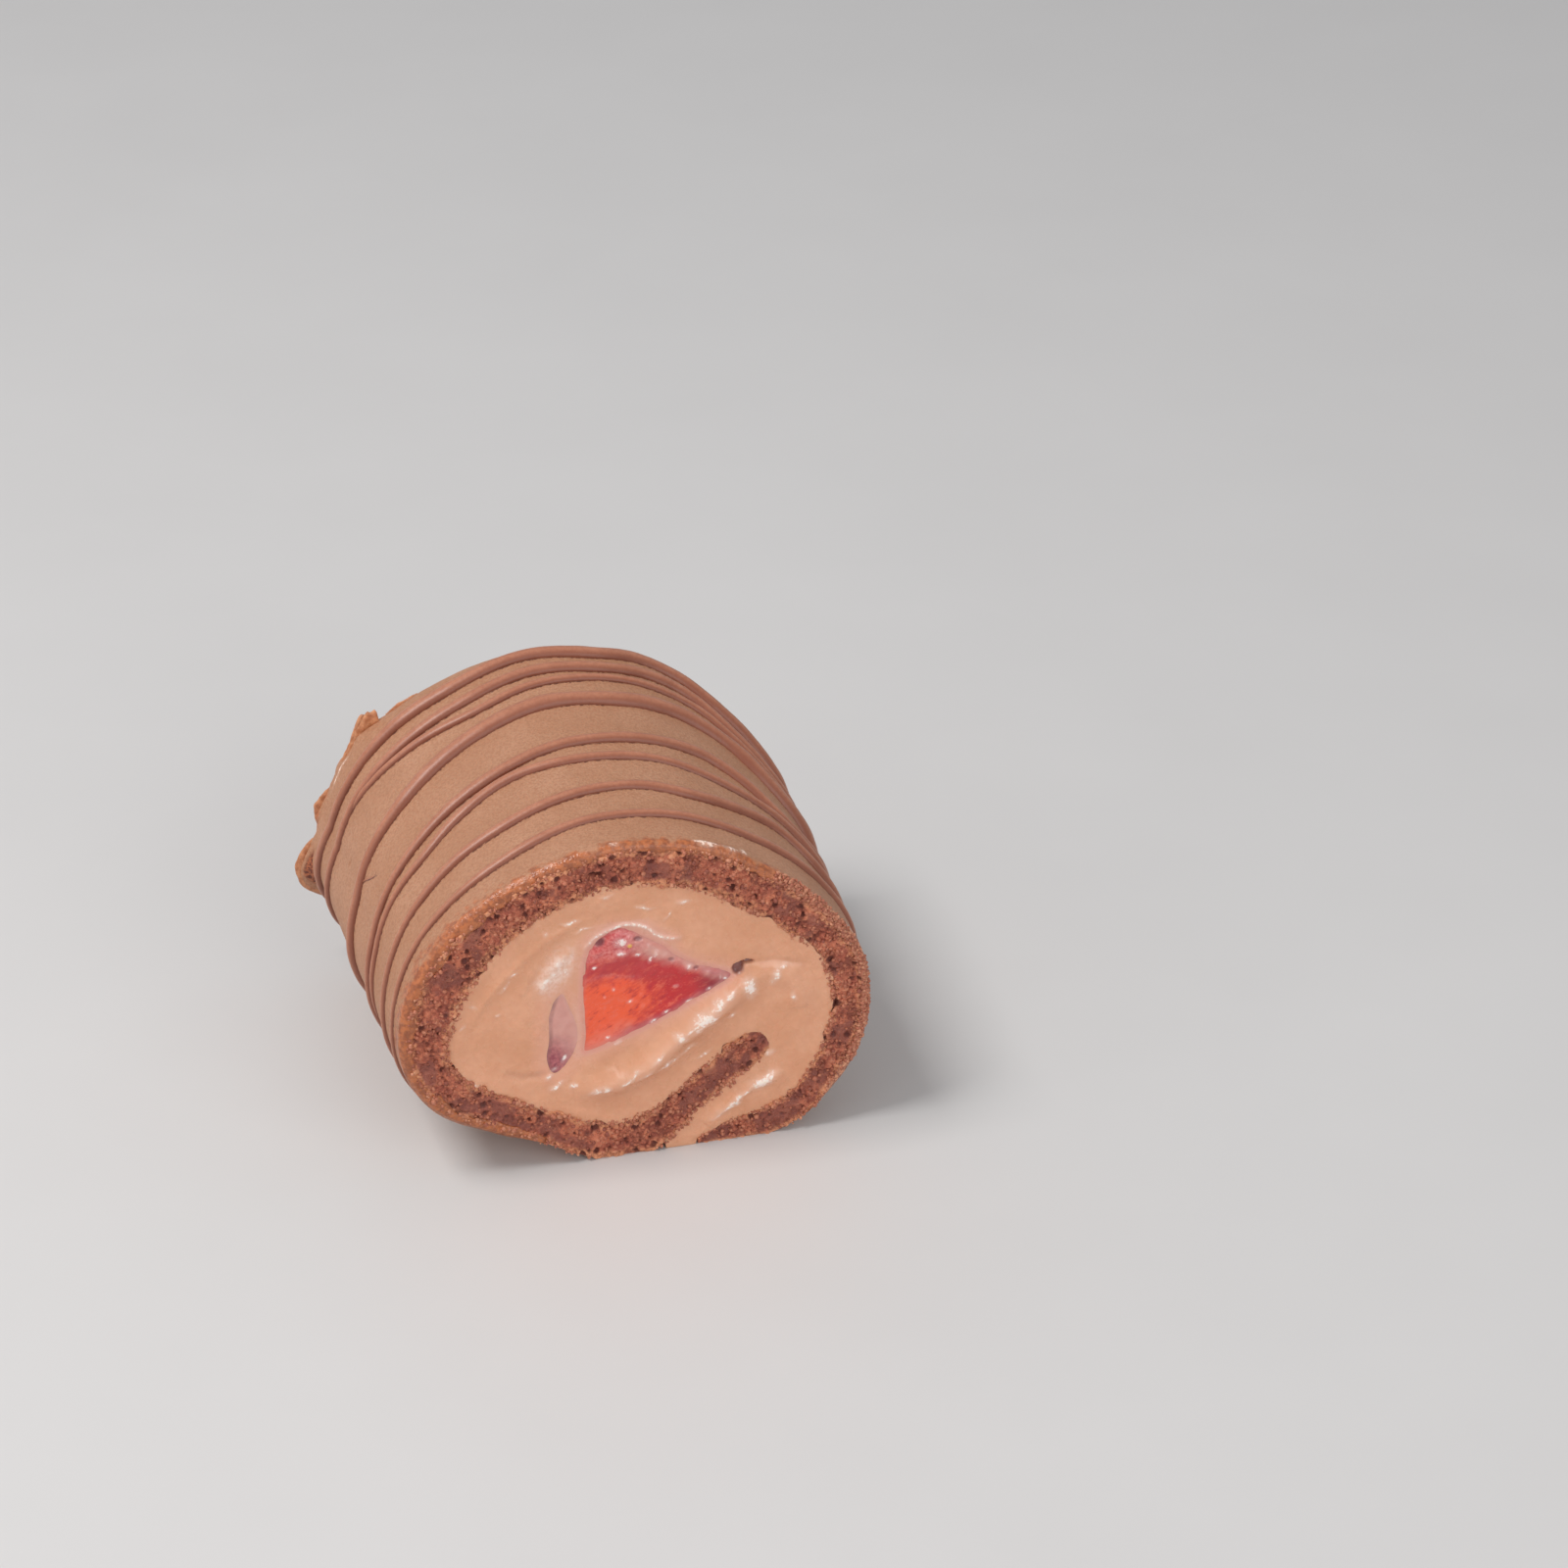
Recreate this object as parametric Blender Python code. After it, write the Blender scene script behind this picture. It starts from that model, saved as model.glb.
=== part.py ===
"""A short swiss roll: chocolate sponge rolled round cream and strawberry, coated and drizzled, cut at both ends.

Metres, +Z up. The roll lies along Y on its seam, with its best cut end facing -Y, and the middle of its
bounding box stands over the origin on the plane z = 0. The sections are drawn in millimetres.
"""

import math

import bmesh
import bpy
import numpy as np

MM = 0.001

# Driving sizes, in millimetres
ROLL_LENGTH = 57.2
HALF_WIDTH = 32.5
ROLL_HEIGHT = 48.7
COAT_THICK = 0.9
GAP = 0.3
STATIONS = (0, 9, 18, 27, 36, 45, 53.6, ROLL_LENGTH)
SHEET_STEP = 2.4
COAT_STEP = 2.9
SMOOTH_ANGLE = math.radians(38)
CURVE_POINTS = 24

# Middle line of the rolled sheet on the cut end, from its thin outer end at the bottom right, up the right side,
# over the top, down the left side and up inside to the tip of the roll: x, height and thickness
SHEET_LINE = [
    (8.6, 0.4, 0.8), (12.6, 1.3, 2.9), (18.0, 2.0, 4.3), (22.4, 4.0, 4.2), (25.8, 8.4, 4.1),
    (28.3, 13.2, 4.2), (29.5, 19.2, 4.1), (28.4, 26.0, 4.4), (23.8, 32.7, 4.9), (17.0, 38.5, 5.5),
    (8.2, 43.5, 5.3), (-1.5, 44.8, 5.3), (-10.4, 43.0, 5.1), (-18.4, 38.6, 5.6), (-24.4, 31.9, 6.5),
    (-27.3, 25.0, 6.0), (-27.6, 18.6, 4.9), (-24.2, 13.2, 5.2), (-17.6, 9.3, 4.8), (-10.6, 5.5, 4.9),
    (-4.4, 2.75, 5.7), (1.2, 2.85, 6.1), (6.4, 6.4, 4.9), (11.2, 10.6, 4.9), (16.2, 14.4, 4.8),
]
TIP_FACETS = 6

# The coat starts and ends at these distances along the sheet's middle line
COAT_SPAN = (14.6, 138.0)

# Cream shows at the seam between the thin outer end and the inner turn, from this height down
SEAM_HEIGHT = 1.3

# The two pieces of fruit on the cut end, as corners of smooth outlines: x and height
BERRY = [
    (-6.9, 27.0), (-5.9, 33.2), (-2.0, 36.0), (3.2, 33.0), (8.0, 29.2), (13.5, 26.3),
    (9.2, 23.7), (4.6, 21.0), (0.8, 18.6), (-6.3, 17.8),
]
SLIVER = [(-11.1, 26.0), (-10.3, 27.0), (-9.0, 24.2), (-8.1, 21.2), (-8.7, 18.4), (-11.6, 14.6), (-12.7, 19.0)]
FRUIT_STEP = 2.0
# Behind the cut the fruit turns and pinches by these amounts, and its room in the cream overruns both ends
FRUIT_TURN = math.radians(7)
FRUIT_PINCH = 0.07
FRUIT_SWELL = 0.03
OVERRUN = 1.0

# Drizzle lines, front to back: ridge width and height, then distance along the sheet and distance from the cut end
DRIZZLE = [
    (1.7, 0.55, [(21, 6.8), (29, 7.2), (37, 7.8), (45, 8.3), (53, 7.8), (61, 7.2), (70, 7.6), (79, 7.7),
                 (90, 6.2), (99, 5.5), (107, 4.5), (113, 3.8), (120, 3.4), (127, 3.1)]),
    (2.0, 0.65, [(19, 12.0), (28, 12.8), (36, 13.8), (44, 14.8), (51, 16.2), (58, 15.2), (64, 14.5), (70, 15.5),
                 (79, 15.0), (88, 13.7), (95, 13.0), (102, 11.6), (108, 10.2), (114, 9.2), (121, 8.4), (129, 7.8)]),
    (1.8, 0.65, [(25, 17.4), (31, 18.4), (38, 19.8), (45, 21.0), (53, 21.9), (60, 22.6), (67, 23.7), (76, 24.0),
                 (84, 24.2), (92, 21.8), (98, 19.6), (104, 18.7), (111, 17.0), (117, 15.6)]),
    (2.2, 0.8, [(17, 19.8), (24, 20.6), (32, 21.4), (40, 22.0), (47, 22.8), (52, 26.2), (58, 29.0), (66, 29.1),
                (77, 28.4), (87, 26.3), (95, 24.3), (102, 22.2), (108, 20.4), (114, 18.9), (122, 17.4), (130, 16.4)]),
    (2.9, 1.0, [(22, 28.6), (29, 29.4), (36, 30.6), (42, 32.4), (47, 34.6), (52, 38.0), (59, 40.1), (68, 39.9),
                (77, 40.1), (86, 38.0), (98, 34.2), (104, 32.6), (110, 31.0), (116, 29.7), (128, 28.0)]),
    (1.6, 0.55, [(32, 34.4), (38, 36.4), (44, 39.2), (49, 41.8), (55, 45.4), (61, 46.3), (68, 46.3), (77, 45.7),
                (85, 43.7), (94, 43.7), (102, 42.9)]),
    (2.2, 0.7, [(19, 35.8), (28, 36.8), (36, 38.2), (43, 40.4), (49, 43.6), (55, 48.6), (61, 49.8), (68, 49.1),
                (77, 49.2), (87, 47.2), (98, 46.0), (105, 45.8), (112, 46.4), (123, 48.4)]),
    (2.8, 0.95, [(24, 41.6), (31, 43.4), (38, 45.6), (45, 48.4), (50, 50.4), (56, 53.6), (62, 54.3), (68, 53.2),
                 (77, 53.8), (87, 52.0), (95, 52.0), (103, 51.4), (109, 51.8), (115, 53.2)]),
]
ROUTE_STEP = 1.0
# A ridge's flat crest as a share of its width, the length over which its ends fade, and the least width of a row
CREST_SHARE = 0.42
LINE_TAPER = 4.0
LEAST_ROW = 0.16

# Torn places on the back rim: distance along the sheet, half width, how far it flares out and how far it sticks back
TORN = [(98.0, 2.4, 1.9, 0.3), (110.0, 2.4, 1.4, 0.2), (117.0, 3.4, 2.9, 0.5), (70.0, 5.0, 0.1, 0.3)]
TORN_DEPTH = 5.5
# The sponge under a torn place follows the coat by this share
FOLLOW = 0.8

# How the roll changes from the cut end to the back: its right side spreads, its lower left side bulges, its flanks
# sway, its top sags a little in the middle of its length, and the back rim is squashed inwards
BACK_SPREAD = 1.0
BACK_BULGE = 2.4
BULGE_TOP = 27.0
SWAY = 0.3
TOP_SAG = 0.4
RIM_SQUASH = 0.022
RIM_DEPTH = 4.5


def smooth_line(points, step):
    """Evenly spaced points on a smooth curve through the given ones; extra columns are carried along."""
    points = np.array(points, float)
    chords = np.linalg.norm(np.diff(points[:, :2], axis=0), axis=1)
    knots = np.concatenate([[0.0], np.cumsum(np.sqrt(chords))])
    slopes = np.gradient(points, knots, axis=0)
    pieces = []
    for i, span in enumerate(np.diff(knots)):
        t = np.linspace(0, 1, CURVE_POINTS, endpoint=False)[:, None]
        pieces.append((2 * t**3 - 3 * t**2 + 1) * points[i] + (t**3 - 2 * t**2 + t) * span * slopes[i]
                      + (3 * t**2 - 2 * t**3) * points[i + 1] + (t**3 - t**2) * span * slopes[i + 1])
    dense = np.vstack(pieces + [points[-1:]])
    run = distance_along(dense)
    spots = np.linspace(0, run[-1], int(round(run[-1] / step)) + 1)
    return np.column_stack([np.interp(spots, run, column) for column in dense.T])


def distance_along(points):
    """Distance of each point from the first one, measured along the line."""
    return np.concatenate([[0.0], np.cumsum(np.linalg.norm(np.diff(points[:, :2], axis=0), axis=1))])


def outward(line):
    """Unit normals to the right of a line, which is outwards on a line that runs anticlockwise."""
    run = np.gradient(line[:, :2], axis=0)
    run /= np.linalg.norm(run, axis=1)[:, None]
    return np.column_stack([run[:, 1], -run[:, 0]])


def smooth_loop(corners, step):
    """A smooth closed outline round the given corners, without its last point."""
    line = smooth_line(corners[-3:] + corners + corners[:3], step / 4)
    from_start = np.linalg.norm(line[:, :2] - corners[0], axis=1)
    half = len(line) // 2
    loop = line[np.argmin(from_start[:half]):half + np.argmin(from_start[half:])]
    count = int(round(distance_along(loop)[-1] / step))
    return loop[np.linspace(0, len(loop), count, endpoint=False).astype(int), :2]


def settled(points, y):
    """Section points at a distance y behind the cut end, moved as the soft roll has settled there."""
    x, z = points[:, 0], points[:, 1]
    depth = np.clip(y / ROLL_LENGTH, 0, 1)
    height = z / ROLL_HEIGHT
    side = x / HALF_WIDTH
    spread = BACK_SPREAD * depth * height * np.clip(side, 0, 1)
    bulge = BACK_BULGE * depth * np.clip(-side, 0, 1) * np.sin(math.pi * np.clip(z / BULGE_TOP, 0, 1))
    sway = SWAY * np.sin(1.5 * math.pi * depth) * height * np.sin(3 * side + 5 * height)
    sag = TOP_SAG * np.sin(math.pi * depth) * height**2
    squash = RIM_SQUASH * np.clip((y - ROLL_LENGTH + RIM_DEPTH) / RIM_DEPTH, 0, 1) ** 2
    return np.column_stack([(x + spread - bulge + sway) * (1 - squash * height), (z - sag) * (1 - squash)])


def place(points, y):
    """Corners in metres, from section points in millimetres at a distance y behind the cut end."""
    x, z = settled(points, y).T
    return np.column_stack([x, np.full(len(x), y - ROLL_LENGTH / 2), z]) * MM


def sheet_rails(step, lift):
    """The sheet's middle line with its outer and inner sides, each lifted off the sponge by lift."""
    line = smooth_line(SHEET_LINE, step)
    reach = (line[:, 2:] / 2 + lift) * outward(line)
    return line, line[:, :2] + reach, line[:, :2] - reach


def sheet_tip(line, lift):
    """The round end of the sheet at the middle of the roll, from its inner side to its outer side."""
    across = outward(line)[-1]
    ahead = np.array([-across[1], across[0]])
    turns = np.linspace(0, math.pi, TIP_FACETS + 1)[1:-1, None]
    return line[-1, :2] + (line[-1, 2] / 2 + lift) * (ahead * np.sin(turns) - across * np.cos(turns))


def cream_section():
    """Outline of the filling: along the inner side of the sponge, round its tip and down to the seam."""
    line, outer, inner = sheet_rails(SHEET_STEP, GAP)
    under = outer[::-1]
    seam = np.argmax((under[:, 1] < SEAM_HEIGHT) & (under[:, 0] > 0))
    foot = [(under[seam, 0], 0.0), (line[0, 0] - GAP, 0.0)]
    return np.vstack([inner, sheet_tip(line, GAP), under[:seam + 1], foot])


def loft(name, rings):
    """A closed body through a row of rings with the same number of corners, capped at both ends."""
    mesh = bpy.data.meshes.new(name)
    shape = bmesh.new()
    loops = [[shape.verts.new(corner) for corner in ring] for ring in rings]
    count = len(loops[0])
    for near, far in zip(loops, loops[1:]):
        for i in range(count):
            j = (i + 1) % count
            shape.faces.new((near[i], near[j], far[j], far[i]))
    shape.faces.new(loops[0][::-1])
    shape.faces.new(loops[-1])
    bmesh.ops.recalc_face_normals(shape, faces=shape.faces)
    shape.to_mesh(mesh)
    shape.free()
    mesh.shade_smooth()
    mesh.set_sharp_from_angle(angle=SMOOTH_ANGLE)
    return bpy.data.objects.new(name, mesh)


def flare(along, y):
    """How far the torn back rim curls outwards at a distance along the sheet and behind the cut end."""
    near_rim = np.clip((y - ROLL_LENGTH + TORN_DEPTH) / TORN_DEPTH, 0, 1) ** 2
    return sum(out * math.exp(-((along - spot) / half) ** 2) for spot, half, out, _ in TORN) * near_rim


def make_sponge():
    """The rolled sheet of sponge, whose torn outside follows the coat at the back rim."""
    line, outer, inner = sheet_rails(SHEET_STEP, 0)
    across = outward(line)
    run = distance_along(line)
    rings = []
    for y in STATIONS:
        curled = outer + across * FOLLOW * np.array([flare(along, y) for along in run])[:, None]
        curled[:, 1] = np.maximum(curled[:, 1], 0)
        rings.append(place(np.vstack([inner, sheet_tip(line, 0), curled[::-1]]), y))
    return loft("sponge", rings)


def fruit_rings(corners, lift, overrun):
    """Sections of a piece of fruit, which swells and turns a little along the roll."""
    loop = smooth_loop(corners, FRUIT_STEP)
    middle = loop.mean(axis=0)
    side = np.roll(loop, -1, axis=0) - np.roll(loop, 1, axis=0)
    normal = np.column_stack([side[:, 1], -side[:, 0]]) / np.linalg.norm(side, axis=1)[:, None]
    outwards = np.sign(((loop - middle) * normal).sum())
    rings = []
    for y in STATIONS:
        depth = y / ROLL_LENGTH
        turn = FRUIT_TURN * math.sin(math.pi * depth)
        swell = 1 - FRUIT_PINCH * math.sin(math.pi * depth) + FRUIT_SWELL * math.sin(2 * math.pi * depth)
        spin = np.array([[math.cos(turn), -math.sin(turn)], [math.sin(turn), math.cos(turn)]])
        rings.append(place(middle + (swell * (loop - middle) + lift * outwards * normal) @ spin.T, y))
    rings[0][:, 1] -= overrun * MM
    rings[-1][:, 1] += overrun * MM
    return rings


def make_cream(cutters):
    """The filling, cut round the fruit."""
    section = cream_section()
    cream = loft("cream", [place(section, y) for y in STATIONS])
    for name, corners in (("berry_room", BERRY), ("sliver_room", SLIVER)):
        room = loft(name, fruit_rings(corners, GAP, OVERRUN))
        room.hide_render = True
        room.display_type = "WIRE"
        cutters.objects.link(room)
        cut = cream.modifiers.new(name, "BOOLEAN")
        cut.operation = "DIFFERENCE"
        cut.object = room
    return cream


def drizzle_profile(along):
    """Rows across the drizzle at a distance along the sheet: distances behind the cut end, and heights."""
    middles = []
    for width, height, route in DRIZZLE:
        spots, depths = np.array(route, float).T
        bends = smooth_line(route, ROUTE_STEP)
        middle = np.interp(along, bends[:, 0], bends[:, 1])
        ease = min(along - spots[0], spots[-1] - along) / LINE_TAPER
        middles.append((middle, width, height * min(max(ease, 0.0), 1.0)))
    rows, heights = [], []
    for i, (middle, width, height) in enumerate(middles):
        low, high = middle - width / 2, middle + width / 2
        if i:
            low = max(low, (middle + middles[i - 1][0]) / 2 + LEAST_ROW / 2)
        if i + 1 < len(middles):
            high = min(high, (middle + middles[i + 1][0]) / 2 - LEAST_ROW / 2)
        crest = CREST_SHARE * (high - low) / 2
        rows += [low, middle - crest, middle + crest, high]
        heights += [0, height, height, 0]
    return np.array(rows), np.array(heights)


def make_coat():
    """The thin coat round the outside with its drizzle ridges, torn a little at the back rim."""
    line = smooth_line(SHEET_LINE, ROUTE_STEP / 2)
    run = distance_along(line)
    across = outward(line)
    count = int(round((COAT_SPAN[1] - COAT_SPAN[0]) / COAT_STEP)) + 1
    rings = []
    for along in np.linspace(*COAT_SPAN, count):
        spot = np.array([np.interp(along, run, column) for column in line.T])
        normal = np.array([np.interp(along, run, column) for column in across.T])
        normal /= np.linalg.norm(normal)
        rows, heights = drizzle_profile(along)
        back = ROLL_LENGTH + sum(reach * math.exp(-((along - at) / half) ** 2) for at, half, _, reach in TORN)
        rows = np.concatenate([[0.0], np.minimum(rows, ROLL_LENGTH - LEAST_ROW), [back]])
        for i in range(len(rows) - 2, 0, -1):
            rows[i] = min(rows[i], rows[i + 1] - LEAST_ROW)
        heights = np.concatenate([[0.0], heights, [0.0]])
        ring = []
        for y, height in zip(rows, heights):
            reach = spot[2] / 2 + GAP + COAT_THICK + height + flare(along, y)
            ring.append(place((spot[:2] + reach * normal)[None], y)[0])
        for y in STATIONS[::-1]:
            reach = spot[2] / 2 + GAP + flare(along, y)
            ring.append(place((spot[:2] + reach * normal)[None], y)[0])
        rings.append(ring)
    return loft("coat", rings)


def material(name, colour, roughness, subsurface=0.0):
    """A plain material for one sub-part."""
    finish = bpy.data.materials.new(name)
    finish.use_nodes = True
    shader = finish.node_tree.nodes["Principled BSDF"]
    shader.inputs["Base Color"].default_value = (*colour, 1)
    shader.inputs["Roughness"].default_value = roughness
    shader.inputs["Metallic"].default_value = 0
    shader.inputs["Subsurface Weight"].default_value = subsurface
    return finish


def centre_over_origin(pieces, cutters):
    """Moves the meshes together so that the middle of the pieces' box stands over the origin."""
    corners = np.array([vertex.co for piece in pieces for vertex in piece.data.vertices])
    middle = (corners.min(axis=0) + corners.max(axis=0)) / 2
    for thing in pieces + cutters:
        for vertex in thing.data.vertices:
            vertex.co.x -= middle[0]
            vertex.co.y -= middle[1]


def main():
    for thing in list(bpy.data.objects):
        bpy.data.objects.remove(thing, do_unlink=True)
    cake = bpy.data.collections.new("swiss_roll")
    cutters = bpy.data.collections.new("cutters")
    for group in (cake, cutters):
        bpy.context.scene.collection.children.link(group)
    pieces = [
        (make_sponge(), material("sponge_crumb", (0.14, 0.045, 0.03), 0.9)),
        (make_cream(cutters), material("cream", (0.62, 0.34, 0.2), 0.35, 0.1)),
        (loft("strawberry", fruit_rings(BERRY, 0, 0)), material("berry_flesh", (0.72, 0.06, 0.03), 0.3, 0.1)),
        (loft("strawberry_sliver", fruit_rings(SLIVER, 0, 0)), material("sliver_flesh", (0.45, 0.12, 0.12), 0.3)),
        (make_coat(), material("coat", (0.45, 0.25, 0.15), 0.55)),
    ]
    for piece, finish in pieces:
        piece.data.materials.append(finish)
        cake.objects.link(piece)
    centre_over_origin([piece for piece, _ in pieces], list(cutters.objects))


main()
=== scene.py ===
"""The looks of a short swiss roll cake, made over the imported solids.

The roll's section is drawn in millimetres, as in the part's source: x to the right and z up on the cut end,
with distances measured back from that end. place() turns it into metres in the frame.
"""

import itertools
import math

import bmesh
import bpy
import numpy as np
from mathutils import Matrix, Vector, geometry, kdtree


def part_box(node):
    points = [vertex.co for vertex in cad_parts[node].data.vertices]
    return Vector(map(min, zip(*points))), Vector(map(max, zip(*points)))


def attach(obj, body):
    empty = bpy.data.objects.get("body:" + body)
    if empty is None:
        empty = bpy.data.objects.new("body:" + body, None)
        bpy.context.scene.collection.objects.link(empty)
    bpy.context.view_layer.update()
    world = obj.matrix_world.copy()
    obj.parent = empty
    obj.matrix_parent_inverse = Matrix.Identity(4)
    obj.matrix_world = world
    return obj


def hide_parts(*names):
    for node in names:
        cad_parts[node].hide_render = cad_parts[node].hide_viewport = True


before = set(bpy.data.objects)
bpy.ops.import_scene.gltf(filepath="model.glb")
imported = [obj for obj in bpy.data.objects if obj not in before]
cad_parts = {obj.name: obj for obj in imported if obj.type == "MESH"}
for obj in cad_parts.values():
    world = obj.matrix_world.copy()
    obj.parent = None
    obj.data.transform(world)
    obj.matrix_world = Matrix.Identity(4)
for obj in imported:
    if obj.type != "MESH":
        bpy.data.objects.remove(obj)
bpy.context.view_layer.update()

MM = 0.001

# Driving sizes of the roll, in millimetres
ROLL_LENGTH = 57.2
HALF_WIDTH = 32.5
ROLL_HEIGHT = 48.7
COAT_THICK = 0.9
GAP = 0.3
COAT_REACH = COAT_THICK + GAP
CURVE_POINTS = 24

# Middle line of the rolled sheet, from its thin outer end to the tip of the roll: x, height and thickness
SHEET_LINE = [
    (8.6, 0.4, 0.8), (12.6, 1.3, 2.9), (18.0, 2.0, 4.3), (22.4, 4.0, 4.2), (25.8, 8.4, 4.1),
    (28.3, 13.2, 4.2), (29.5, 19.2, 4.1), (28.4, 26.0, 4.4), (23.8, 32.7, 4.9), (17.0, 38.5, 5.5),
    (8.2, 43.5, 5.3), (-1.5, 44.8, 5.3), (-10.4, 43.0, 5.1), (-18.4, 38.6, 5.6), (-24.4, 31.9, 6.5),
    (-27.3, 25.0, 6.0), (-27.6, 18.6, 4.9), (-24.2, 13.2, 5.2), (-17.6, 9.3, 4.8), (-10.6, 5.5, 4.9),
    (-4.4, 2.75, 5.7), (1.2, 2.85, 6.1), (6.4, 6.4, 4.9), (11.2, 10.6, 4.9), (16.2, 14.4, 4.8),
]
COAT_SPAN = (14.6, 138.0)
SEAM_HEIGHT = 1.3

# Outlines of the two pieces of fruit on the cut end
BERRY = [
    (-6.9, 27.0), (-5.9, 33.2), (-2.0, 36.0), (3.2, 33.0), (8.0, 29.2), (13.5, 26.3), (9.2, 23.6),
    (4.5, 21.3), (-0.6, 19.1), (-4.2, 17.9), (-6.9, 17.4), (-6.8, 19.8),
]
SLIVER = [
    (-11.6, 23.4), (-10.7, 26.2), (-9.7, 27.1), (-8.7, 25.0), (-7.7, 21.9), (-7.8, 18.6), (-9.2, 15.9),
    (-11.0, 14.6), (-12.0, 16.4), (-11.7, 20.0),
]
FRUIT_TURN = math.radians(7)
FRUIT_PINCH = 0.07
FRUIT_SWELL = 0.03

# Drizzle lines, front to back: width, then distance along the sheet and distance behind the cut end
DRIZZLE = [
    (1.7, [(21, 6.8), (29, 7.2), (37, 7.8), (45, 8.3), (53, 7.8), (61, 7.2), (70, 7.6), (79, 7.7),
           (90, 6.2), (99, 5.5), (107, 4.5), (113, 3.8), (120, 3.4), (127, 3.1)]),
    (2.0, [(19, 12.0), (28, 12.8), (36, 13.8), (44, 14.8), (51, 16.2), (58, 15.2), (64, 14.5),
           (70, 15.5), (79, 15.0), (88, 13.7), (95, 13.0), (102, 11.6), (108, 10.2), (114, 9.2),
           (121, 8.4), (129, 7.8)]),
    (1.8, [(25, 17.4), (31, 18.4), (38, 19.8), (45, 21.0), (53, 21.9), (60, 22.6), (67, 23.7),
           (76, 24.0), (84, 24.2), (92, 21.8), (98, 19.6), (104, 18.7), (111, 17.0), (117, 15.6)]),
    (2.2, [(17, 19.8), (24, 20.6), (32, 21.4), (40, 22.0), (47, 22.8), (52, 26.2), (58, 29.0),
           (66, 29.1), (77, 28.4), (87, 26.3), (95, 24.3), (102, 22.2), (108, 20.4), (114, 18.9),
           (122, 17.4), (130, 16.4)]),
    (2.9, [(22, 28.6), (29, 29.4), (36, 30.6), (42, 32.4), (47, 34.6), (52, 38.0), (59, 40.1),
           (68, 39.9), (77, 40.1), (86, 38.0), (98, 34.2), (104, 32.6), (110, 31.0), (116, 29.7),
           (128, 28.0)]),
    (1.6, [(32, 34.4), (38, 36.4), (44, 39.2), (49, 41.8), (55, 45.4), (61, 46.3), (68, 46.3),
           (77, 45.7), (85, 43.8), (92, 44.1), (99, 44.6), (106, 45.3)]),
    (2.2, [(19, 35.8), (28, 36.8), (36, 38.2), (43, 40.4), (49, 43.6), (55, 48.6), (61, 49.8),
           (68, 49.1), (77, 49.2), (87, 47.2), (98, 45.9), (105, 45.5), (112, 45.7), (123, 47.0)]),
    (2.5, [(24, 41.6), (31, 43.4), (38, 45.6), (45, 48.4), (50, 50.4), (56, 53.6), (62, 54.3),
           (68, 53.2), (77, 53.8), (87, 52.0), (95, 51.4), (103, 50.4), (109, 50.9), (115, 52.3),
           (119, 53.2), (123, 54.2)]),
    (0.95, [(104.6, 27.4), (105.5, 28.5), (106.6, 30.1), (107.9, 31.7)]),
]

# Torn places on the back rim: distance along the sheet, half width, how far out and how far back they go
TORN = [
    (98.2, 2.4, 1.5, 0.3), (103.5, 3.6, 0.7, 0.6), (109.6, 2.2, 1.3, 0.3), (117.4, 3.0, 2.8, 0.5),
    (70.0, 5.0, 0.1, 0.3),
]
TORN_DEPTH = 5.5
FOLLOW = 0.8

# How the soft roll has settled from the cut end to the back
BACK_SPREAD = 1.0
BACK_BULGE = 2.4
BULGE_TOP = 27.0
SWAY = 0.3
TOP_SAG = 0.4
RIM_SQUASH = 0.022
RIM_DEPTH = 4.5

# The frame puts the cut end and the section's middle a little off the part's own drawing
DRAWN_FRONT = -ROLL_LENGTH / 2
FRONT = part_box("sponge")[0].y / MM
CREAM_FOOT = max(vertex.co.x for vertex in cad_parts["cream"].data.vertices if vertex.co.z < 1e-5) / MM
ACROSS = CREAM_FOOT - (SHEET_LINE[0][0] - GAP)


# The roll's two cut faces, whose numbers also choose their noise
CUT_END = 1
BACK_END = 2


# Noise and curves

def random_of(cells, seed):
    """A steady random number from 0 to 1 for each cell of whole numbers."""
    x, y, z = (cells[..., axis].astype(np.int64) for axis in range(3))
    mixed = ((x * 73856093) ^ (y * 19349663) ^ (z * 83492791) ^ (seed * 40503 + 977)) & 0xFFFFFFFF
    for _ in range(2):
        mixed = ((mixed ^ (mixed >> 16)) * 0x45D9F3B) & 0xFFFFFFFF
    return ((mixed ^ (mixed >> 16)) & 0xFFFFFF) / 0xFFFFFF


def bumps(points, size, seed):
    """Smooth noise from -1 to 1 whose bumps are about size apart."""
    spot = points / size
    base = np.floor(spot)
    part = spot - base
    part = part**3 * (part * (6 * part - 15) + 10)
    total = np.zeros(len(spot))
    for corner in itertools.product((0, 1), repeat=3):
        weight = np.where(corner, part, 1 - part).prod(axis=1)
        total += weight * random_of(base + corner, seed)
    return 2 * total - 1


def shifts(points, size, seed):
    """Smooth noise in two columns, to move section points by."""
    return np.column_stack([bumps(points, size, seed + axis) for axis in range(2)])


def cells(points, size, seed):
    """Distances in sizes to the two nearest of scattered spots, and the nearest one's own number."""
    spot = points / size
    base = np.floor(spot)
    nearest = np.full(len(spot), 9.0)
    following = nearest.copy()
    number = np.zeros(len(spot))
    for step in itertools.product((-1, 0, 1), repeat=3):
        cell = base + step
        centre = cell + np.column_stack([random_of(cell, seed + axis) for axis in range(3)])
        reach = np.linalg.norm(spot - centre, axis=1)
        following = np.where(reach < nearest, nearest, np.minimum(following, reach))
        number = np.where(reach < nearest, random_of(cell, seed + 3), number)
        nearest = np.minimum(nearest, reach)
    return nearest, following, number


LAYER_GAP = 11.3


def on_layer(points, seed):
    """Section points given a third number, so that each layer has noise of its own."""
    return beside(points, LAYER_GAP * seed)


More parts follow.
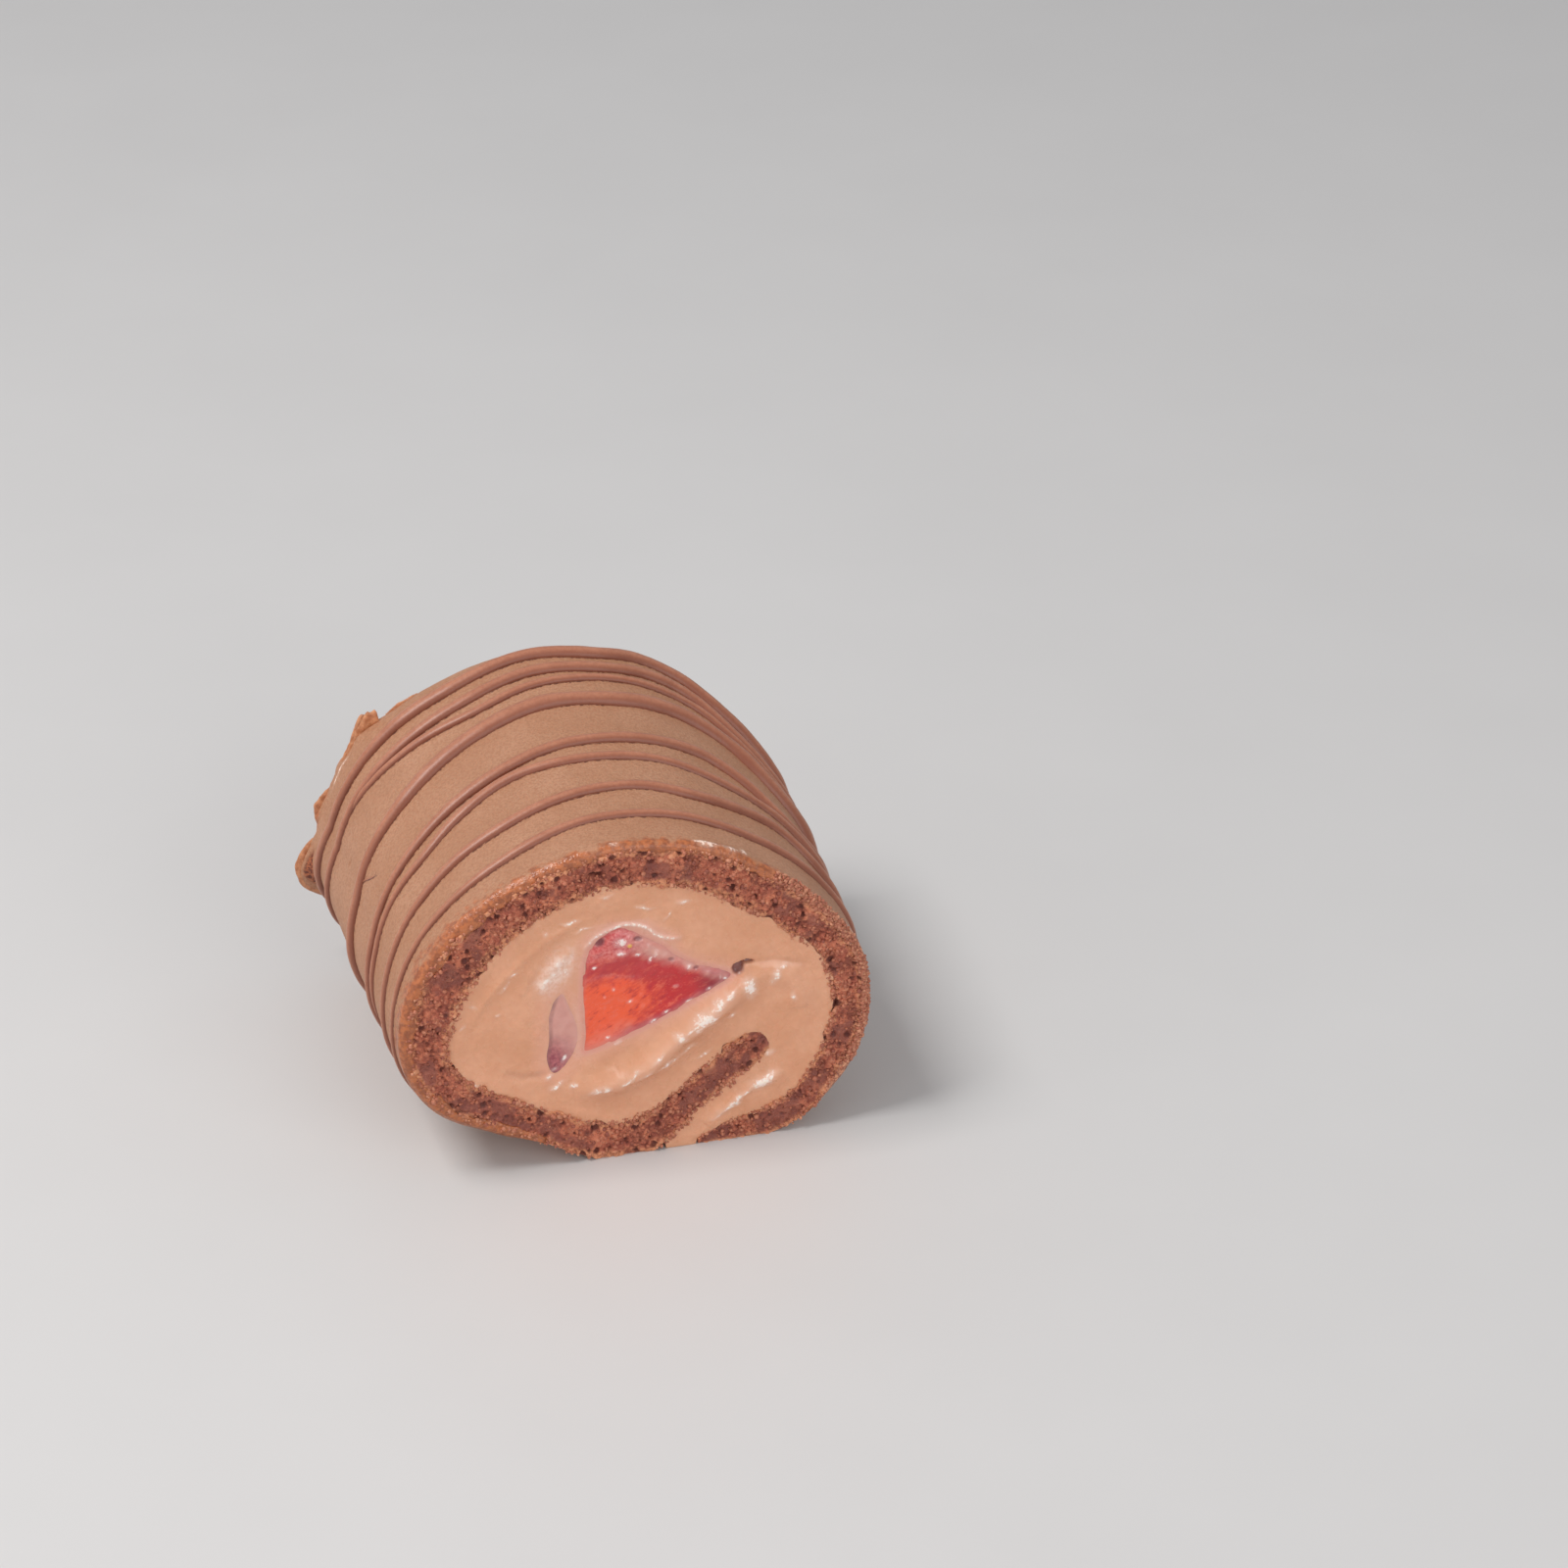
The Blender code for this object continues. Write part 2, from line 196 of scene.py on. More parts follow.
def beside(values, *numbers):
    """Noise places made of the values, each followed by the same numbers."""
    return np.column_stack([values] + [np.full(len(values), number) for number in numbers])


def smooth_line(points, step):
    """Evenly spaced points on a smooth curve through the given ones; extra columns are carried along."""
    points = np.array(points, float)
    chords = np.linalg.norm(np.diff(points[:, :2], axis=0), axis=1)
    knots = np.concatenate([[0.0], np.cumsum(np.sqrt(chords))])
    slopes = np.gradient(points, knots, axis=0)
    pieces = []
    for i, span in enumerate(np.diff(knots)):
        t = np.linspace(0, 1, CURVE_POINTS, endpoint=False)[:, None]
        pieces.append((2 * t**3 - 3 * t**2 + 1) * points[i] + (t**3 - 2 * t**2 + t) * span * slopes[i]
                      + (3 * t**2 - 2 * t**3) * points[i + 1] + (t**3 - t**2) * span * slopes[i + 1])
    dense = np.vstack(pieces + [points[-1:]])
    run = distance_along(dense)
    spots = np.linspace(0, run[-1], int(round(run[-1] / step)) + 1)
    return read_off(spots, run, dense)


def distance_along(points):
    """Distance of each point from the first one, measured along the line."""
    return np.concatenate([[0.0], np.cumsum(np.linalg.norm(np.diff(points[:, :2], axis=0), axis=1))])


def outward(line):
    """Unit normals to the right of a line, which is outwards on a line that runs anticlockwise."""
    run = np.gradient(line[:, :2], axis=0)
    run /= np.linalg.norm(run, axis=1)[:, None]
    return np.column_stack([run[:, 1], -run[:, 0]])


def smooth_loop(corners, step):
    """A smooth closed outline round the given corners, without its last point."""
    line = smooth_line(corners[-3:] + corners + corners[:3], step / 4)
    from_start = np.linalg.norm(line[:, :2] - corners[0], axis=1)
    half = len(line) // 2
    loop = line[np.argmin(from_start[:half]):half + np.argmin(from_start[half:])]
    count = int(round(distance_along(loop)[-1] / step))
    return loop[np.linspace(0, len(loop), count, endpoint=False).astype(int), :2]


def ease(low, high, value):
    """From 0 at low to 1 at high, starting and ending gently."""
    part = np.clip((value - low) / (high - low), 0, 1)
    return part * part * (3 - 2 * part)


# The settled roll in the frame

def settled(points, y):
    """Section points at a distance y behind the cut end, moved as the soft roll has settled there."""
    x, z = points[:, 0], points[:, 1]
    depth = np.clip(y / ROLL_LENGTH, 0, 1)
    height = z / ROLL_HEIGHT
    side = x / HALF_WIDTH
    spread = BACK_SPREAD * depth * height * np.clip(side, 0, 1)
    bulge = BACK_BULGE * depth * np.clip(-side, 0, 1) * np.sin(math.pi * np.clip(z / BULGE_TOP, 0, 1))
    sway = SWAY * np.sin(1.5 * math.pi * depth) * height * np.sin(3 * side + 5 * height)
    sag = TOP_SAG * np.sin(math.pi * depth) * height**2
    squash = RIM_SQUASH * np.clip((y - ROLL_LENGTH + RIM_DEPTH) / RIM_DEPTH, 0, 1) ** 2
    return np.column_stack([(x + spread - bulge + sway) * (1 - squash * height), (z - sag) * (1 - squash)])


def place(points, y):
    """Places in the frame, in metres, of section points at distances y behind the cut end."""
    x, z = settled(points, y).T
    return np.column_stack([x + ACROSS, np.broadcast_to(y, len(x)) + FRONT, z]) * MM


def flare(along, y):
    """How far the torn back rim curls outwards at a distance along the sheet and behind the cut end."""
    near_rim = np.clip((y - ROLL_LENGTH + TORN_DEPTH) / TORN_DEPTH, 0, 1) ** 2
    return sum(out * np.exp(-((along - spot) / half) ** 2) for spot, half, out, _ in TORN) * near_rim


def search_tree(points):
    """A tree that finds the nearest of some section points."""
    tree = kdtree.KDTree(len(points))
    for i, spot in enumerate(points):
        tree.insert((spot[0], spot[1], 0), i)
    tree.balance()
    return tree


# What a search tree gives for each place that it is asked about, after the point itself
WHICH = 1
HOW_FAR = 2


def search(tree, points, wanted):
    """The numbers, or the distances, of the tree's points nearest to the given ones."""
    return np.array([tree.find((x, z, 0))[wanted] for x, z in points])


def read_off(spots, run, values):
    """The columns of values, which are known at the distances run, at other distances."""
    return np.column_stack([np.interp(spots, run, column) for column in values.T])


class Sheet:
    """The rolled sheet's middle line, with what is needed to find places along and across it."""

    def __init__(self, step):
        self.line = smooth_line(SHEET_LINE, step)
        self.across = outward(self.line)
        self.run = distance_along(self.line)
        self.tree = search_tree(self.line)

    def at(self, along):
        """Middle line points with thickness, and outward normals, at distances along the sheet."""
        spot = read_off(along, self.run, self.line)
        normal = read_off(along, self.run, self.across)
        return spot, normal / np.linalg.norm(normal, axis=1)[:, None]

    def nearest(self, points):
        """Distances of section points along the sheet, and outwards of its middle in half thicknesses."""
        found = search(self.tree, points, WHICH)
        off = ((points - self.line[found, :2]) * self.across[found]).sum(axis=1)
        return self.run[found], off / (self.line[found, 2] / 2)


FINE_SHEET = Sheet(0.22)


# Meshes

def carry(mesh, label, values):
    """Gives the corners of a mesh a number each, or a direction each."""
    values = np.asarray(values, np.float32)
    kind, field = ("FLOAT", "value") if values.ndim == 1 else ("FLOAT_VECTOR", "vector")
    mesh.attributes.new(label, kind, "POINT").data.foreach_set(field, values.ravel())


def add(name, data):
    """A new object in the scene."""
    made = bpy.data.objects.new(name, data)
    bpy.context.scene.collection.objects.link(made)
    return made


def mesh_object(name, corners, faces, finish, **numbers):
    """An object from corners in metres and faces, with a number for each corner under each further name."""
    mesh = bpy.data.meshes.new(name)
    mesh.from_pydata(corners.tolist(), [], faces)
    shape = bmesh.new()
    shape.from_mesh(mesh)
    bmesh.ops.recalc_face_normals(shape, faces=shape.faces)
    shape.to_mesh(mesh)
    shape.free()
    for label, values in numbers.items():
        carry(mesh, label, values)
    mesh.shade_smooth()
    mesh.materials.append(finish)
    return add(name, mesh)


def inside(loop, points):
    """Which points lie inside a closed outline."""
    x0, z0 = loop.T
    x1, z1 = np.roll(loop, -1, axis=0).T
    x, z = points[:, :1], points[:, 1:]
    crosses = (z0 > z) != (z1 > z)
    rise = np.where(z1 == z0, 1e-9, z1 - z0)
    return (crosses & (x < (x1 - x0) * (z - z0) / rise + x0)).sum(axis=1) % 2 == 1


# The points that fill a section are shaken, and keep clear of the outlines, by these shares of their step
GRID_SHAKE = 0.22
GRID_CLEAR = 0.62


def fill(loops, step, seed):
    """Even triangles over a section with holes.

    Returns its points, those of the outlines first, then the triangles and the points' distances to an edge.
    """
    outline = np.vstack(loops)
    edges, first = [], 0
    for loop in loops:
        edges += [(first + i, first + (i + 1) % len(loop)) for i in range(len(loop))]
        first += len(loop)
    tree = search_tree(outline)
    low, high = outline.min(axis=0), outline.max(axis=0)
    row = step * math.sqrt(3) / 2
    x, z = np.meshgrid(np.arange(low[0], high[0], step), np.arange(low[1], high[1], row))
    x += step / 2 * (np.arange(len(x)) % 2)[:, None]
    grid = np.column_stack([x.ravel(), z.ravel()])
    grid += GRID_SHAKE * step * shifts(on_layer(grid, seed), step * 0.7, 60)
    grid = grid[search(tree, grid, HOW_FAR) > GRID_CLEAR * step]
    spots = [Vector(spot) for spot in np.vstack([outline, grid])]
    made = geometry.delaunay_2d_cdt(spots, edges, [], 2, 1e-6)
    points = np.array([spot[:] for spot in made[0]])
    kept = np.array([face for face in made[2] if len(face) == 3])
    centres = points[kept].mean(axis=1)
    for hole in loops[1:]:
        beyond_low, beyond_high = centres > hole.min(axis=0), centres < hole.max(axis=0)
        near = np.flatnonzero((beyond_low & beyond_high).all(axis=1))
        drop = near[inside(hole, centres[near])]
        kept = np.delete(kept, drop, axis=0)
        centres = np.delete(centres, drop, axis=0)
    came_from = [source[0] if source else -1 for source in made[3]]
    order = np.full(len(points), -1)
    used = np.unique(kept)
    outline_ids = {source: i for i, source in enumerate(came_from) if 0 <= source < first}
    front_ids = [outline_ids[i] for i in range(first)]
    rest = np.setdiff1d(used, front_ids)
    order[front_ids] = np.arange(first)
    order[rest] = first + np.arange(len(rest))
    points = points[np.concatenate([front_ids, rest]).astype(int)]
    to_edge = search(tree, points, HOW_FAR)
    to_edge[:first] = 0
    return points, order[kept], to_edge


SHARP_ANGLE = math.radians(60)


def cut_body(name, loops_at, stations, steps, relief, finish):
    """A body along the roll with a dense cut face at each end and smooth sides through the stations.

    loops_at gives the section's outlines at a distance behind the cut. relief gives, for a face's points,
    how far they stand out of the cut and a dictionary of numbers for the finish. steps are the sizes of
    the triangles on the cut end and on the back.
    """
    ends = []
    for seed, y, step in ((CUT_END, stations[0], steps[0]), (BACK_END, stations[-1], steps[1])):
        loops = loops_at(y)
        points, faces, to_edge = fill(loops, step, seed)
        out, numbers = relief(points, to_edge, seed)
        spots = place(points, y)
        spots[:, 1] += np.where(seed == CUT_END, -1, 1) * out * MM
        ends.append((spots, faces, numbers, [len(loop) for loop in loops]))
    (front, front_faces, front_numbers, sizes), (back, back_faces, back_numbers, _) = ends
    count = sum(sizes)
    rings = [place(np.vstack(loops_at(y)), y) for y in stations[1:-1]]
    corners = np.vstack([front] + rings + [back])
    bases = [0] + [len(front) + i * count for i in range(len(rings))] + [len(front) + len(rings) * count]
    faces = front_faces.tolist() + (back_faces[:, ::-1] + bases[-1]).tolist()
    for near, far in zip(bases, bases[1:]):
        first = 0
        for size in sizes:
            i = first + np.arange(size)
            j = first + (np.arange(size) + 1) % size
            faces += np.column_stack([near + i, near + j, far + j, far + i]).tolist()
            first += size
    numbers = {}
    for label, values in front_numbers.items():
        numbers[label] = np.concatenate([values, np.tile(values[:count], len(rings)), back_numbers[label]])
    piece = mesh_object(name, corners, faces, finish, **numbers)
    piece.data.set_sharp_from_angle(angle=SHARP_ANGLE)
    return piece


def tint(red, green, blue):
    """A colour as the shader wants it, from its three parts on a screen's scale of 0 to 255."""
    parts = np.array([red, green, blue]) / 255
    linear = np.where(parts <= 0.04045, parts / 12.92, ((parts + 0.055) / 1.055) ** 2.4)
    return (*linear.tolist(), 1.0)


class NodeTree:
    """A tree of nodes, built one node at a time."""

    def link(self, value, socket):
        """Joins an output, or a node's first one, or sets a plain value. Colours go from 0 to 255."""
        if isinstance(value, bpy.types.Node):
            value = value.outputs[0]
        if isinstance(value, bpy.types.NodeSocket):
            self.tree.links.new(value, socket)
        else:
            socket.default_value = tint(*value) if socket.type == "RGBA" else value

    def node(self, kind, inputs=(), **settings):
        """Adds a node, sets its settings, and joins or sets its inputs, which go by name or by place."""
        node = self.tree.nodes.new(kind)
        for label, value in settings.items():
            setattr(node, label, value)
        for label, value in dict(inputs).items():
            self.link(value, node.inputs[label])
        return node


class Recipe(NodeTree):
    """A Geometry Nodes tree with named inputs."""

    def __init__(self, name, **inputs):
        self.tree = bpy.data.node_groups.new(name, "GeometryNodeTree")
        self.tree.interface.new_socket("Geometry", in_out="OUTPUT", socket_type="NodeSocketGeometry")
        self.tree.interface.new_socket("Geometry", in_out="INPUT", socket_type="NodeSocketGeometry")
        self.values = {}
        for label, value in inputs.items():
            kind = "NodeSocketInt" if isinstance(value, int) else "NodeSocketFloat"
            socket = self.tree.interface.new_socket(label, in_out="INPUT", socket_type=kind)
            self.values[socket.identifier] = value
        self.start = self.tree.nodes.new("NodeGroupInput")

    def given(self, label):
        return self.start.outputs[label]

    def read(self, label, kind="FLOAT"):
        return self.node("GeometryNodeInputNamedAttribute", {"Name": label}, data_type=kind)

    def finish(self, shape, material):
        """Ends the tree with real geometry in one material."""
        real = self.node("GeometryNodeRealizeInstances", {"Geometry": shape})
        painted = self.node("GeometryNodeSetMaterial", {"Geometry": real, "Material": material})
        self.node("NodeGroupOutput", {0: painted})

    def run(self, name, mesh):
        """Runs the tree on a mesh and returns the result as a plain object at the origin."""
        host = add(name + "_host", mesh)
        modifier = host.modifiers.new(name, "NODES")
        modifier.node_group = self.tree
        for identifier, value in self.values.items():
            modifier[identifier] = value
        ready = host.evaluated_get(bpy.context.evaluated_depsgraph_get())
        result = bpy.data.meshes.new_from_object(ready)
        host.modifiers.remove(modifier)
        bpy.data.objects.remove(host, do_unlink=True)
        return add(name, result)


# Finishes

class Finish(NodeTree):
    """A Principled material whose colour, its base, is painted over in layers. Sizes are in millimetres."""

    def __init__(self, name, roughness, subsurface=0.0, coat=0.0):
        self.material = bpy.data.materials.new(name)
        self.material.use_nodes = True
        self.tree = self.material.node_tree
        self.shader = self.tree.nodes["Principled BSDF"]
        settings = {"Roughness": roughness, "Subsurface Weight": subsurface, "Coat Weight": coat,
                    "Subsurface Radius": (1.0, 0.5, 0.35), "Subsurface Scale": 1.2 * MM,
                    "Coat Roughness": 0.12}
        for label, value in settings.items():
            self.shader.inputs[label].default_value = value
        self.place = self.node("ShaderNodeTexCoord").outputs["Object"]
        self.base = None

    def number(self, label):
        """A number that the mesh carries at its corners."""
        return self.node("ShaderNodeAttribute", attribute_name=label).outputs["Fac"]

    def grained(self, turn, length):
        """Object coordinates that draw a pattern out by a length along a grain, lifted off X by a turn."""
        return self.node("ShaderNodeMapping", {
            "Vector": self.place, "Rotation": (0, -turn, 0), "Scale": (length, 1, 1)}, vector_type="TEXTURE")

    def noise(self, size, detail=3.0, rough=0.55, vector=None):
        """Noise from 0 to 1 with bumps about size across."""
        node = self.node("ShaderNodeTexNoise", {
            "Vector": vector or self.place, "Scale": 1 / (size * MM), "Detail": detail, "Roughness": rough})
        return node.outputs["Fac"]

    def spots(self, size):
        """Distance to the nearest of scattered spots about size apart."""
        node = self.node("ShaderNodeTexVoronoi", {"Vector": self.place, "Scale": 1 / (size * MM)})
        return node.outputs["Distance"]

    def ramp(self, value, low, high, start=0.0, end=1.0):
        """A smooth step: start below low, end above high."""
        return self.node("ShaderNodeMapRange", {
            "Value": value, "From Min": low, "From Max": high, "To Min": start, "To Max": end},
            interpolation_type="SMOOTHSTEP")

    def plus(self, first, second):
        return self.node("ShaderNodeMath", {0: first, 1: second}, operation="ADD")

    def times(self, first, second):
        return self.node("ShaderNodeMath", {0: first, 1: second}, operation="MULTIPLY")

    def larger(self, first, second):
        return self.node("ShaderNodeMath", {0: first, 1: second}, operation="MAXIMUM")

    def blend(self, share, first, second):
        """The first colour where share is 0 and the second where it is 1."""
        return self.node("ShaderNodeMix", {0: share, 6: first, 7: second}, data_type="RGBA").outputs[2]

    def patches(self, first, second, size, detail=3.0, rough=0.55, low=0.3, high=0.7):
        """Two colours in soft patches about size across."""
        return self.blend(self.ramp(self.noise(size, detail, rough), low, high), first, second)

    def relief(self, height, depth, strength=1.0):
        """Bumps on the surface, depth millimetres high for a height from 0 to 1, over any set before."""
        node = self.node("ShaderNodeBump", {"Strength": strength, "Distance": depth * MM, "Height": height})
        before = self.shader.inputs["Normal"].links
        if before:
            self.link(before[0].from_socket, node.inputs["Normal"])
        self.link(node, self.shader.inputs["Normal"])

    def part(self, label, most):
        """A number that the mesh carries, times the most that it should come to."""
        return self.times(self.number(label), most)

    def paint(self, share, tone):
        """Lays a colour over the base where share is 1."""
        self.base = self.blend(share, self.base, tone)

    def glints(self, tone):
        """Paints the wet lights that the mesh carries, with edges made ragged by noise."""
        light = self.number("glint")
        broken = self.plus(light, self.ramp(self.noise(0.5, 4.0, 0.65), 0.3, 0.7, -0.4, 0.35))
        share = self.larger(self.ramp(broken, 0.4, 1.0, 0.0, 0.92), self.times(light, 0.3))
        self.paint(self.times(share, self.ramp(light, 0.02, 0.2)), tone)

    def roughness(self, value):
        self.link(value, self.shader.inputs["Roughness"])

    def done(self):
        """The finished material, with its painted base."""
        self.link(self.base, self.shader.inputs["Base Color"])
        return self.material


def coat_finish():
    """Matte whipped chocolate coat: fine pores, wet orange smears at its ends, painted wet highlights, and a
    dark dotted line at the drizzle's foot that is part pits and part painted shade.
    """
    look = Finish("coat_cream", 0.6, subsurface=0.12)
    fine = look.noise(0.42, 3.0, 0.7)
    pin = look.spots(0.34)
    look.base = look.patches((179, 127, 95), (188, 137, 106), 9.0, 2.0)
    look.paint(look.ramp(fine, 0.34, 0.62, 0.6, 0.0), (158, 105, 74))
    look.paint(look.ramp(pin, 0.05, 0.24, 0.4, 0.0), (150, 98, 70))
    ragged = look.noise(0.55, 3.0, 0.7)
    # A dark dotted line at the front foot of each drizzle line: part pits in the coat, part painted shade
    # under the line's edge
    foot = look.plus(look.number("foot"), look.ramp(ragged, 0.3, 0.7, -0.16, 0.16))
    line = look.times(look.ramp(foot, -0.38, -0.1), look.ramp(foot, 0.05, 0.3, 1.0, 0.0))
    dots = look.ramp(look.noise(0.6, 1.0), 0.34, 0.54, 0.25, 1.0)
    dots = look.times(dots, look.number("by_foot"))
    look.paint(look.times(line, dots), (96, 52, 38))
    smear = look.plus(look.number("from_cut"), look.ramp(look.noise(1.8, 4.0), 0.25, 0.75, -0.8, 0.8))
    smeared = look.ramp(smear, 0.2, 1.3, 1.0, 0.0)
    wet = look.patches((190, 107, 60), (144, 74, 41), 0.7, 4.0, low=0.35, high=0.65)
    look.paint(look.times(smeared, 0.85), wet)
    torn = look.patches((96, 42, 28), (182, 104, 66), 0.45, 4.0, 0.65, 0.42, 0.6)
    look.paint(look.ramp(look.number("tear"), 0.2, 0.8), torn)
    crumb = look.patches((146, 82, 62), (220, 154, 118), 0.5, 4.0, 0.65, 0.38, 0.62)
    look.paint(look.number("crumb"), crumb)
    # Painted wet highlights
    look.glints((255, 226, 208))
    look.roughness(look.ramp(smeared, 0.2, 0.9, 0.62, 0.28))
    look.relief(fine, 0.10, 0.7)
    look.relief(pin, 0.08, 0.6)
    return look.done()


def flake_finish():
    """Torn coat, wet and orange brown."""
    look = Finish("coat_flake", 0.35, subsurface=0.1)
    look.base = look.patches((170, 106, 68), (214, 148, 106), 0.9, 4.0, 0.6)
    look.relief(look.noise(0.35, 3.0), 0.12, 0.8)
    return look.done()


# The drizzle lines carry a number across their width, which is -1 on the side towards the cut
FRONT_SIDE = -1.0


def drizzle_finish():
    """Satin milk chocolate, with painted shade on the side towards the cut."""
    look = Finish("drizzle_chocolate", 0.4, subsurface=0.1)
    fine = look.noise(0.5, 3.0, 0.6)
    look.base = look.patches((172, 111, 84), (184, 122, 94), 5.0)
    look.paint(look.ramp(fine, 0.35, 0.6, 0.35, 0.0), (150, 88, 64))
    # Painted shade over the side of each line towards the cut
    side = look.times(look.number("side"), FRONT_SIDE)
    look.paint(look.ramp(side, 0.25, 1.0, 0.0, 0.85), (126, 68, 48))
    look.relief(fine, 0.05, 0.5)
    return look.done()


def sponge_finish():
    """Open reddish brown crumb: painted light on its raised grains, painted shade in its hollows and pores,
    smooth where pressed, orange tan towards its edges.
    """
    look = Finish("sponge_crumb", 0.7, subsurface=0.12)
    lumps = look.noise(0.7, 4.0, 0.65)
    fine = look.noise(0.24, 3.0, 0.7)
    look.base = look.patches((170, 88, 68), (209, 122, 91), 2.4, 4.0, 0.6, 0.35, 0.65)
    edge = look.plus(look.number("edge"), look.ramp(look.noise(1.4, 3.0), 0.3, 0.7, -0.4, 0.4))
    look.paint(look.ramp(edge, 0.1, 0.9, 0.0, 0.85), (228, 154, 112))
    # Painted light on the raised crumb and painted shade in its hollows, from the crumb's height
    high = look.plus(look.number("high"), look.ramp(fine, 0.3, 0.7, -0.16, 0.16))
    look.paint(look.ramp(high, 0.1, 0.5, 0.0, 0.7), (224, 160, 126))
    look.paint(look.ramp(high, -0.35, 0.02, 0.65, 0.0), (122, 60, 50))
    look.paint(look.ramp(fine, 0.58, 0.72, 0.0, 0.35), (222, 160, 130))
    look.paint(look.ramp(lumps, 0.34, 0.48, 0.35, 0.0), (124, 64, 52))
    look.paint(look.ramp(look.number("pressed"), 0.2, 1.0, 0.0, 0.6), (130, 68, 57))
    # Painted shade in the pores, pits and torn slots
    look.paint(look.ramp(look.number("pore"), 0.15, 0.9, 0.0, 0.9), (100, 46, 38))
    look.roughness(look.ramp(look.number("pressed"), 0.3, 1.0, 0.7, 0.42))
    look.relief(lumps, 0.3, 0.9)
    look.relief(fine, 0.14, 0.9)
    return look.done()


def grain_finish():
    """Single grains of crumb, from dark brown to light orange."""
    look = Finish("sponge_grain", 0.6, subsurface=0.1)
    shade = look.number("shade")
    look.base = look.blend(look.ramp(shade, 0.1, 0.6), (146, 80, 64), (184, 110, 84))
    look.paint(look.ramp(shade, 0.7, 1.4), (212, 146, 114))
    look.relief(look.noise(0.2, 2.0), 0.1, 0.8)
    return look.done()


def cream_finish():
    """Smooth wet chocolate cream, tinted pink where the fruit has bled into it, with painted light on its
    fold crests, painted shade on their flanks, in creases and in a pocket, and painted wet highlights.
    """
    look = Finish("filling_cream", 0.3, subsurface=0.22, coat=0.3)
    fine = look.noise(0.9)
    look.base = look.patches((220, 156, 118), (229, 167, 131), 6.0)
    look.paint(look.ramp(fine, 0.3, 0.7, 0.2, 0.0), (200, 134, 98))
    look.paint(look.part("stain", 0.6), (228, 164, 138))
    look.paint(look.part("film", 0.55), (228, 172, 156))
    look.paint(look.part("bled", 0.55), (222, 140, 124))
    # Painted light on the crests of the folds
    look.paint(look.part("crest", 0.45), (246, 192, 162))
    # Painted shade on the flank below the main fold
    look.paint(look.part("flank", 0.36), (186, 120, 84))
    # Painted shade in the creases
    look.paint(look.part("hollow", 0.6), (168, 106, 78))
    streaks = look.ramp(look.noise(0.8, 4.0, 0.65), 0.32, 0.66, 0.25, 0.95)
    look.paint(look.part("milky", streaks), (252, 226, 214))
    # Painted shade in the hollow pocket beside the berry's right tip
    look.paint(look.ramp(look.number("pocket"), 0.0, 1.0, 0.0, 0.85), (112, 56, 60))
    # Painted wet highlights
    look.glints((255, 240, 230))
    look.roughness(look.ramp(look.noise(2.2), 0.35, 0.65, 0.2, 0.42))
    look.relief(fine, 0.08, 0.5)
    return look.done()


FIBRE_TURN = math.radians(30)


def berry_finish():
    """Wet cut strawberry: orange at its heart, crimson to the right and pink under its film of cream."""
    look = Finish("berry_flesh", 0.2, subsurface=0.3, coat=0.4)
    fibre = look.noise(0.8, 4.0, 0.6, look.grained(FIBRE_TURN, 2.2))
    fine = look.noise(0.4, 3.0, 0.6)
    heart = look.plus(look.number("heart"), look.ramp(fibre, 0.3, 0.7, -0.3, 0.3))
    look.base = look.blend(look.ramp(heart, 0.0, 1.0), (200, 28, 34), (244, 92, 48))
    look.paint(look.ramp(fibre, 0.52, 0.7, 0.0, 0.5), (238, 116, 92))
    look.paint(look.ramp(fibre, 0.28, 0.44, 0.6, 0.0), (172, 32, 36))
    flecks = look.noise(0.32, 3.0, 0.7)
    look.paint(look.ramp(flecks, 0.58, 0.74, 0.0, 0.38), (244, 150, 130))
    look.paint(look.part("pale", look.ramp(fibre, 0.3, 0.6, 0.45, 0.95)), (234, 128, 108))
    look.paint(look.part("band", 0.55), (186, 58, 62))
    look.paint(look.number("deep"), (126, 30, 48))
    pink = look.blend(look.ramp(fine, 0.3, 0.7), (196, 78, 82), (224, 140, 136))
    look.paint(look.part("film", 0.8), pink)
    look.paint(look.part("veil", 0.8), (218, 166, 150))
    look.paint(look.part("fringe", 0.65), (176, 88, 100))
    look.paint(look.part("rim", 0.36), (220, 120, 106))
    look.paint(look.part("pit", 0.75), (98, 30, 44))
    look.paint(look.number("kernel"), (222, 172, 78))
    # Painted wet highlights
    look.glints((255, 236, 230))
    look.relief(fibre, 0.12, 0.5)
    look.relief(fine, 0.06, 0.5)
    return look.done()


def sliver_finish():
    """Pale mauve slice of berry, purple at its low end."""
    look = Finish("sliver_flesh", 0.28, subsurface=0.3, coat=0.3)
    broad = look.noise(1.6)
    fine = look.noise(0.6, 3.0, 0.6)
    look.base = look.blend(look.ramp(broad, 0.3, 0.7), (210, 148, 136), (218, 160, 148))
    low = look.blend(look.ramp(fine, 0.3, 0.7), (142, 54, 70), (186, 104, 108))
    look.paint(look.number("deep"), low)
    look.paint(look.part("rim", 0.6), (222, 160, 146))
    look.paint(look.part("line", look.ramp(broad, 0.3, 0.7, 0.15, 0.7)), (150, 96, 90))
    # Painted wet highlights
    look.glints((250, 236, 230))
    look.relief(broad, 0.15, 0.5)
    return look.done()


# Sponge

SPONGE_STATIONS = (
    0, 0.4, 1.2, 3.5, 7, 11, 15.5, 20, 24.5, 29, 33.5, 38, 42.5, 47, 50.5, 53.5, 55.5, 56.7, ROLL_LENGTH,
)
SPONGE_STEP = 0.22
SPONGE_FACES = (0.17, 0.24)


